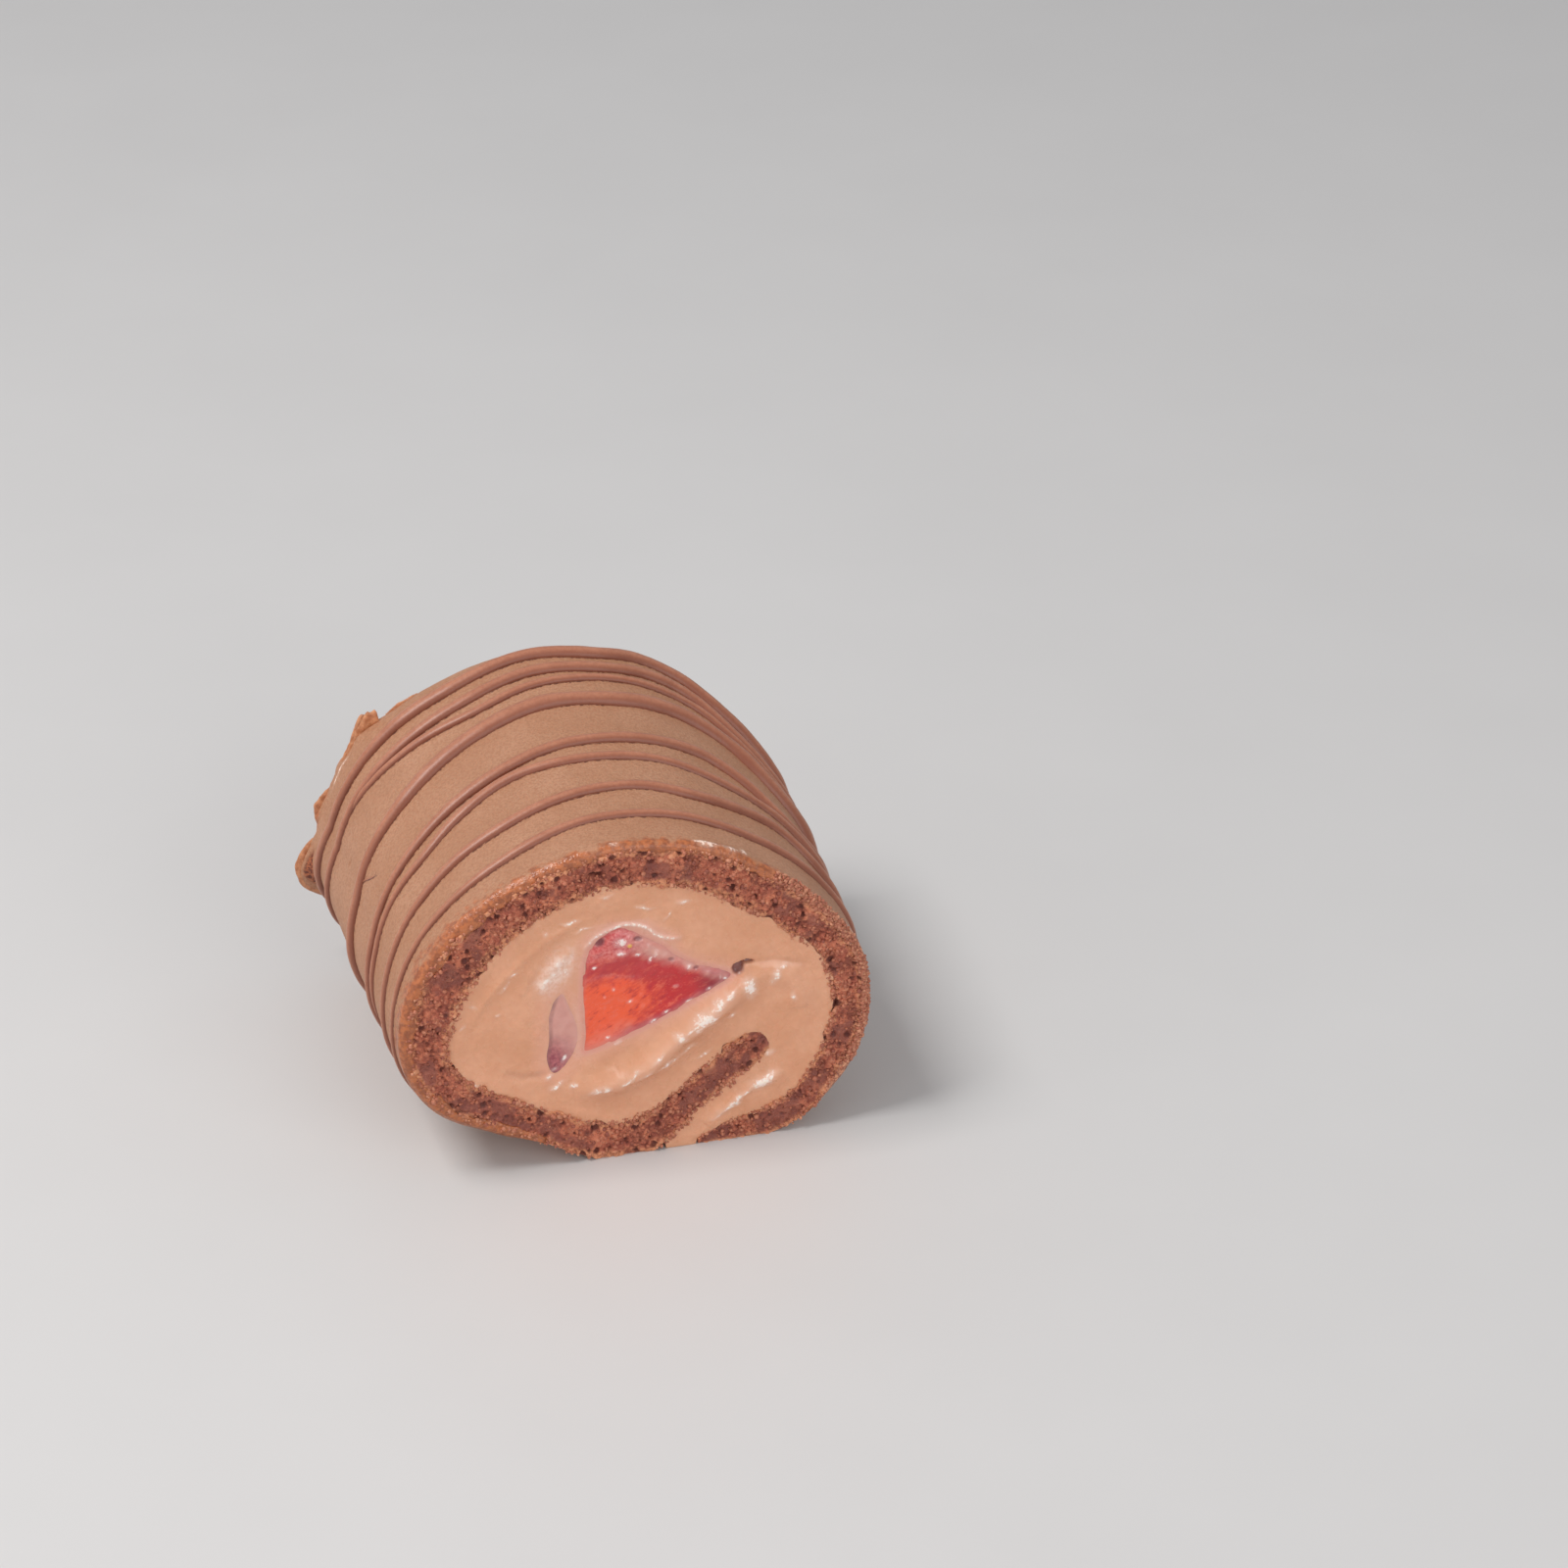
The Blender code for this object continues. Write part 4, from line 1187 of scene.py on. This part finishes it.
def sliver_relief(points, to_edge, seed):
    """A thin pale slice with a dark line down its left edge and a dark rough low end."""
    flat = on_layer(points, seed)
    low = ease(21.5, 15.5, points[:, 1] + 1.0 * bumps(flat, 1.8, 96) + 0.5 * (points[:, 0] + 10))
    line = ease(0.6, 0.15, np.abs(to_edge - 0.25)) * ease(-9.8, -10.6, points[:, 0])
    rim = ease(1.2, 0.1, to_edge + 0.3 * bumps(flat, 1.1, 99)) * (1 - 0.7 * low)
    rim = rim * ease(-11.0, -9.8, points[:, 0])
    out = 0.1 * bumps(flat, 1.5, 95) + 0.1 * low * bumps(flat, 0.5, 98) - 0.05
    out = out * ease(-0.3, 0.8, to_edge) - 0.01
    return out, {"deep": low, "line": line, "rim": rim, "glint": lights(points, SLIVER_GLINTS)}


# Coat and drizzle

COAT_ALONG_STEP = 0.42
COAT_BACK_STEP = 0.28
LIP_DEPTH = 0.8
LIP_DROP = 0.5
OUTER_DROP = 0.55
FLOOR_CLEAR = 0.02
END_TAPER = 7.0
END_SHARE = 0.12

# Tears, and painted wet highlights, on the coat: half length, half width, strength, distances along the sheet
# and behind the cut, and a turn in degrees
COAT_TEARS = [
    (2.8, 0.75, 1.0, 117.2, 55.4, 4), (0.8, 0.3, 0.6, 98.4, 56.3, 0), (0.5, 0.22, 0.5, 108.5, 38.5, 0),
]
COAT_GLINTS = [
    (1.3, 0.5, 1.0, 62.0, 0.7, 0), (1.6, 0.35, 0.9, 65.0, 0.5, 0), (0.5, 0.6, 0.8, 60.0, 1.2, 0),
    (0.9, 0.25, 0.8, 76.0, 0.4, 0), (0.7, 0.25, 0.8, 84.0, 0.4, 0), (3.0, 0.2, 0.8, 104.5, 55.2, 0),
]

# A foot number for places that no drizzle line is near, and where a line's foot is, as a share of half of it
FAR = 9.0
FOOT_SHARE = 0.92

# Where the coat turns down over the left flank, and where and how much the drizzle lines get thinner there
LEFT_TURN = (84, 98)
NARROW_SPAN = (88, 106)
NARROW_SHARE = 0.32


def narrowing(along):
    """The drizzle lines get thinner towards the left side of the roll."""
    return 1 - NARROW_SHARE * ease(*NARROW_SPAN, along)


# The drizzle lines taper to round ends over a length, which keep a small share of their width
TAPER_LENGTH = 4.0
TAPER_REST = 0.35


def taper(along, first, last):
    """Share of a drizzle line's full width at distances along the sheet, between the line's two ends."""
    share = np.clip(np.minimum(along - first, last - along) / TAPER_LENGTH, 0, 1)
    return np.sqrt(TAPER_REST**2 + (1 - TAPER_REST**2) * share)


def ridge_rows(along):
    """For each drizzle line, its middle behind the cut, its half width and whether it reaches there."""
    found = []
    for width, route in DRIZZLE:
        bends = smooth_line(route, 1.0)
        middle = np.interp(along, bends[:, 0], bends[:, 1])
        share = taper(along, route[0][0], route[-1][0])
        found.append((middle, width / 2 * share * narrowing(along), share > TAPER_REST))
    return found


def tube_faces(first, ring, count):
    """Faces of a closed tube whose corners come in count rings, one after the other, from a first number."""
    i = np.arange(ring)
    j = (i + 1) % ring
    last = first + (count - 1) * ring
    faces = [face for near in range(first, last, ring)
             for face in np.column_stack([near + i, near + j, near + ring + j, near + ring + i]).tolist()]
    return faces + [(first + i).tolist(), (last + i[::-1]).tolist()]


# The coat's under side lies this little above the sponge
UNDER_GAP = 0.05


def coat_rows():
    """The coat's section along the roll: over its outer side, round the back, underneath and round the front.

    Each row is a distance behind the cut, a drop below the outer side, and the share of the smear that
    reaches over the sponge there.
    """
    rows = []
    for y in np.linspace(0, ROLL_LENGTH, int(ROLL_LENGTH / COAT_BACK_STEP)):
        rim = min(y, ROLL_LENGTH - y)
        drop = LIP_DROP * (1 - math.sqrt(1 - (1 - min(rim / LIP_DEPTH, 1)) ** 2))
        rows.append((y, drop, 0.0))
    cut = [(-0.12, 0.62, 0.0), (-0.18, 0.85, 0.0), (-0.2, COAT_REACH, 0.0), (-0.2, COAT_REACH, 0.5),
           (-0.16, COAT_REACH, 0.85), (-0.02, COAT_REACH, 1.0), (0.35, COAT_REACH, 0.9)]
    rows += [(ROLL_LENGTH - y, drop, smear) for y, drop, smear in cut]
    under = (ROLL_LENGTH - LIP_DEPTH, 50, 40, 30, 20, 10, LIP_DEPTH)
    rows += [(y, COAT_REACH - UNDER_GAP, 0.0) for y in under]
    return np.array(rows + cut[::-1])


def make_coat(finish):
    """The coat as one thin shell, rounded over and smeared across the sponge at both cut ends."""
    count = int((COAT_SPAN[1] - COAT_SPAN[0]) / COAT_ALONG_STEP)
    along = np.linspace(*COAT_SPAN, count)
    rows = coat_rows()
    grid_y, grid_drop, grid_smear = np.tile(rows, (count, 1)).T
    grid_along = np.repeat(along, len(rows))
    base, across = (np.repeat(values, len(rows), axis=0) for values in FINE_SHEET.at(along))
    on_coat = np.column_stack([grid_along, grid_y])
    skin = beside(on_coat, 0)
    is_outer = grid_drop < OUTER_DROP
    tear = np.where(is_outer, slots(on_coat, COAT_TEARS), 0)
    # Painted wet highlights, which also stand a little proud of the coat
    glint = lights(on_coat, COAT_GLINTS) + 0.2 * bumps(on_layer(on_coat, 9), 0.8, 106)
    glint = np.where(is_outer, ease(0.15, 1.0, glint), 0)
    uneven = 0.07 * bumps(skin, 7.0, 100) + 0.035 * bumps(skin, 2.2, 101) + 0.02 * bumps(skin, 0.8, 102)
    back_half = (grid_y > ROLL_LENGTH / 2).astype(float)
    edge = beside(np.column_stack([grid_along, 90 * back_half]), 0)
    smear_reach = 0.3 + 0.5 * ease(*LEFT_TURN, grid_along) - 0.4 * ease(56, 48, grid_along)
    smear_reach = np.clip(smear_reach + 0.4 * bumps(edge, 3.4, 103) + 0.3 * bumps(edge, 0.8, 104), 0.0, 1.4)
    from_end = np.minimum(grid_along - COAT_SPAN[0], COAT_SPAN[1] - grid_along)
    thick = END_SHARE + (1 - END_SHARE) * ease(0, END_TAPER, from_end + 0.8 * bumps(skin, 2.0, 105))
    ragged = 0.85 + 0.2 * bumps(skin, 1.5, 107) + 0.2 * bumps(skin, 0.7, 108)
    proud = thick * (COAT_REACH - grid_drop + np.where(is_outer, uneven, 0))
    reach = (base[:, 2] / 2 + ragged * flare(grid_along, grid_y) + proud
             - grid_smear * smear_reach - 0.7 * tear + 0.12 * glint)
    overhang = sum(back * np.exp(-((grid_along - at) / half) ** 2) for at, half, _, back in TORN)
    depth = grid_y + overhang * ease(ROLL_LENGTH - 4, ROLL_LENGTH, grid_y)
    x, z = settled(base[:, :2] + reach[:, None] * across, grid_y).T
    corners = np.column_stack([x + ACROSS, depth + FRONT, np.maximum(z, FLOOR_CLEAR)]) * MM
    faces = tube_faces(0, len(rows), count)
    foot = np.full(len(grid_y), FAR)
    for middle, half, reaches in ridge_rows(grid_along):
        off = np.where(reaches, grid_y - (middle - FOOT_SHARE * half), FAR)
        foot = np.where(np.abs(off) < np.abs(foot), off, foot)
    by_foot = ease(1.6, 0.8, np.abs(foot))
    smeared = np.where(back_half, 0.6, 1 + 1.3 * ease(*LEFT_TURN, grid_along))
    from_cut = np.where(is_outer, np.minimum(grid_y, ROLL_LENGTH - grid_y) / smeared, -1.0)
    crumb = ease(1.0, 0.4, from_cut) * ease(BARE_SPAN[1] + 2, BARE_SPAN[1] - 4, grid_along)
    return mesh_object("coat", corners, faces, finish, foot=foot, by_foot=by_foot, from_cut=from_cut,
                       tear=tear, glint=glint, crumb=crumb)


# Torn flaps of coat that stand on the back rim. Each has a slant along the sheet for its height, then a
# route of stops: distance along the sheet, distance behind the cut, how high the flap stands off the coat
# there and how far its edge leans back
FLAPS = [
    (-1.0, [(96.0, 56.1, 0.1, 0.0), (96.5, 56.1, 1.1, 0.1), (97.2, 56.1, 1.6, 0.2),
            (98.0, 56.2, 1.4, 0.2), (100.2, 56.3, 0.6, 0.1), (103.0, 56.4, 0.1, 0.0)]),
    (-0.8, [(96.8, 56.9, 0.1, 0.0), (97.4, 56.9, 1.0, 0.2), (98.1, 56.9, 1.5, 0.3),
            (98.9, 57.0, 1.2, 0.2), (100.6, 57.0, 0.5, 0.1), (103.3, 57.0, 0.1, 0.0)]),
    (0.3, [(106.8, 56.9, 0.1, 0.1), (108.1, 57.0, 0.6, 0.2), (109.2, 57.0, 0.75, 0.3),
           (110.2, 57.0, 0.55, 0.2), (111.6, 57.0, 0.1, 0.1)]),
    (0.0, [(113.6, 57.0, 0.1, 0.1), (115.0, 57.1, 0.6, 0.3), (117.0, 57.1, 0.5, 0.3),
           (119.2, 57.1, 0.7, 0.3), (121.0, 57.0, 0.4, 0.2), (122.6, 57.0, 0.1, 0.1)]),
    (0.0, [(90.4, 57.0, 0.05, 0.0), (93.0, 57.0, 0.35, 0.1), (95.0, 57.0, 0.05, 0.0)]),
]
FLAP_THICK = 0.42
FLAP_SINK = 0.35
FLAP_STEP = 0.2


def make_flakes(finish):
    """Thin crumpled walls of torn coat, rough along their top edge."""
    rises = np.array([0.0, 0.3, 0.6, 0.85, 1.0])
    share = np.concatenate([rises, rises[::-1]])
    side = np.concatenate([-np.ones(5), np.ones(5)]) * (1 - 0.75 * share**2)
    ring = len(share)
    corners, faces = [], []
    for number, (slant, route) in enumerate(FLAPS):
        bends = smooth_line(route, FLAP_STEP)
        along = np.repeat(bends[:, 0], ring)
        stops = beside(bends[:, 0], 5.0 * number, 0)
        high = np.repeat(np.maximum(bends[:, 2], 0.05) * (1 + 0.22 * bumps(stops, 0.6, 120)), ring)
        rise = np.tile(share, len(bends))
        y = np.repeat(bends[:, 1], ring) + np.repeat(bends[:, 3], ring) * rise**2
        y += FLAP_THICK / 2 * np.tile(side, len(bends))
        foot_out = 0.85 * flare(along, y)
        along = along + slant * high * rise
        spot, normal = FINE_SHEET.at(along)
        out = spot[:, 2] / 2 + GAP + COAT_THICK + foot_out - FLAP_SINK + (high + FLAP_SINK) * rise
        where = np.column_stack([along, y, out])
        out += 0.08 * rise * bumps(where, 0.6, 122)
        y += 0.07 * bumps(where, 0.8, 123)
        faces += tube_faces(len(corners), ring, len(bends))
        corners += place(spot[:, :2] + out[:, None] * normal, y).tolist()
    return mesh_object("coat_flakes", np.array(corners), faces, finish)


DRIZZLE_SINK = 0.06


def drizzle_paths():
    """The drizzle lines' middles on the coat, with half widths and outward directions."""
    mesh = bpy.data.meshes.new("drizzle_paths")
    corners, edges, widths, ups = [], [], [], []
    for number, (width, route) in enumerate(DRIZZLE):
        bends = smooth_line(route, 0.5)
        along, y = bends[:, 0], bends[:, 1]
        spot, normal = FINE_SHEET.at(along)
        reach = spot[:, 2] / 2 + GAP + COAT_THICK + flare(along, y) - DRIZZLE_SINK
        points = place(spot[:, :2] + reach[:, None] * normal, y)
        wave = beside(along, 9.0 * number, 0)
        uneven = 1 + 0.07 * bumps(wave, 6.0, 110) + 0.04 * bumps(wave, 1.7, 111)
        half = width / 2 * taper(along, along[0], along[-1]) * narrowing(along) * uneven
        first = len(corners)
        corners += points.tolist()
        edges += [(first + i, first + i + 1) for i in range(len(points) - 1)]
        widths += (half * MM).tolist()
        ups += np.column_stack([normal[:, 0], np.zeros(len(normal)), normal[:, 1]]).tolist()
    mesh.from_pydata(corners, edges, [])
    carry(mesh, "half_width", widths)
    carry(mesh, "up", ups)
    return mesh


def make_drizzle(finish):
    """Rounded lines of chocolate drawn over the coat, half sunk into it."""
    recipe = Recipe("drizzle_lines", Sides=16, Height_share=0.88, Wobble=0.00005, Wobble_scale=900.0)
    curve = recipe.node("GeometryNodeMeshToCurve", {"Mesh": recipe.given("Geometry")})
    up = recipe.read("up", "FLOAT_VECTOR")
    turned = recipe.node("GeometryNodeSetCurveNormal", {"Curve": curve, "Normal": up}, mode="FREE")
    sides = recipe.given("Sides")
    ring = recipe.node("GeometryNodeCurvePrimitiveCircle", {"Resolution": sides, "Radius": 1.0})
    shape = recipe.node("ShaderNodeCombineXYZ", {"X": recipe.given("Height_share"), "Y": 1.0, "Z": 1.0})
    oval = recipe.node("GeometryNodeTransform", {"Geometry": ring, "Scale": shape})
    split = recipe.node("ShaderNodeSeparateXYZ", {0: recipe.node("GeometryNodeInputPosition")})
    sided = recipe.node("GeometryNodeStoreNamedAttribute", {
        "Geometry": oval, "Name": "side", "Value": split.outputs["Y"]}, data_type="FLOAT", domain="POINT")
    tube = recipe.node("GeometryNodeCurveToMesh", {
        "Curve": turned, "Profile Curve": sided, "Scale": recipe.read("half_width"), "Fill Caps": True})
    normal = recipe.node("GeometryNodeInputNormal")
    noise = recipe.node("ShaderNodeTexNoise", {"Scale": recipe.given("Wobble_scale"), "Detail": 2.0})
    centred = recipe.node("ShaderNodeMath", {0: noise.outputs["Fac"], 1: 0.5}, operation="SUBTRACT")
    size = recipe.node("ShaderNodeMath", {0: centred, 1: recipe.given("Wobble")}, operation="MULTIPLY")
    push = recipe.node("ShaderNodeVectorMath", {0: normal, 3: size}, operation="SCALE")
    rough = recipe.node("GeometryNodeSetPosition", {"Geometry": tube, "Offset": push})
    recipe.finish(recipe.node("GeometryNodeSetShadeSmooth", {"Geometry": rough}), finish)
    return recipe.run("drizzle", drizzle_paths())


# The camera, the light and the floor

CAMERA_SPOT = (-0.12195, -0.5647, 0.3748)
CAMERA_AIM = (0.2227, 0.8369, -0.5)
CAMERA_LENS = 112.5
SENSOR = 36.0

# Soft square lights: place and size in metres, and power in watts
LIGHTS = [
    ("window", (-0.45, -0.06, 0.8), 0.35, 5.4),
    ("fill", (0.3, -0.85, 0.4), 0.7, 3.2),
    ("left", (-0.8, -0.35, 0.3), 0.6, 0.9),
    ("back", (-0.5, 0.8, 0.4), 0.6, 0.35),
]
LIGHTS_AIM = Vector((0, 0, 0.025))
SKY_COLOUR = (0.93, 0.96, 1.0, 1)
SKY_STRENGTH = 0.42
FLOOR_HALF = 6.0
FLOOR_MOTTLE = 40.0


def aim(thing, spot, direction):
    """Puts a camera or a light at a place, upright and facing a direction."""
    thing.location = spot
    thing.rotation_mode = "QUATERNION"
    thing.rotation_quaternion = direction.to_track_quat("-Z", "Y")


def make_camera():
    camera = add("camera", bpy.data.cameras.new("camera"))
    x, y, z = CAMERA_SPOT
    aim(camera, (x + ACROSS * MM, y + (FRONT - DRAWN_FRONT) * MM, z), Vector(CAMERA_AIM))
    camera.data.lens = CAMERA_LENS
    camera.data.sensor_width = SENSOR
    camera.data.clip_start = 0.01
    bpy.context.scene.camera = camera


def soft_light(name, spot, size, watts):
    """A square soft light aimed at the roll."""
    light = bpy.data.lights.new(name, "AREA")
    light.size = size
    light.energy = watts
    aim(add(name, light), spot, LIGHTS_AIM - Vector(spot))


def make_studio():
    world = bpy.data.worlds.new("studio")
    world.use_nodes = True
    background = world.node_tree.nodes["Background"].inputs
    background["Color"].default_value = SKY_COLOUR
    background["Strength"].default_value = SKY_STRENGTH
    bpy.context.scene.world = world
    bpy.context.scene.view_settings.view_transform = "Standard"
    for light in LIGHTS:
        soft_light(*light)
    mesh = bpy.data.meshes.new("floor")
    corners = [(x * FLOOR_HALF, y * FLOOR_HALF, 0) for x, y in ((-1, -1), (1, -1), (1, 1), (-1, 1))]
    mesh.from_pydata(corners, [], [(0, 1, 2, 3)])
    look = Finish("floor_paint", 0.5)
    look.base = look.blend(look.noise(FLOOR_MOTTLE), (205, 202, 200), (210, 207, 205))
    mesh.materials.append(look.done())
    floor = add("floor", mesh)


# Making and joining the pieces to the frame

def stand_for(piece, node):
    """The piece goes with the roll and shows instead of a solid."""
    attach(piece, "root")
    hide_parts(node)


def fruit_body(name, outline, relief, finish):
    """A piece of fruit that runs through the roll."""
    return cut_body(name, lambda y: [fruit_loop(outline, BERRY_STEP, 0, y)], FRUIT_STATIONS, BERRY_FACES,
                    relief, finish)


def main():
    make_camera()
    make_studio()
    stand_for(make_coat(coat_finish()), "coat")
    stand_for(make_drizzle(drizzle_finish()), "coat")
    stand_for(make_flakes(flake_finish()), "coat")
    sheet = cut_body("sponge_sheet", sponge_loops, SPONGE_STATIONS, SPONGE_FACES, crumb_relief,
                     sponge_finish())
    stand_for(sheet, "sponge")
    stand_for(make_grains(grain_finish()), "sponge")
    cream = cut_body("cream_filling", cream_loops, CREAM_STATIONS, CREAM_FACES, cream_relief,
                     cream_finish())
    stand_for(cream, "cream")
    berry = fruit_body("berry", BERRY, berry_relief, berry_finish())
    stand_for(berry, "strawberry")
    sliver = fruit_body("berry_sliver", SLIVER, sliver_relief, sliver_finish())
    stand_for(sliver, "strawberry_sliver")


main()
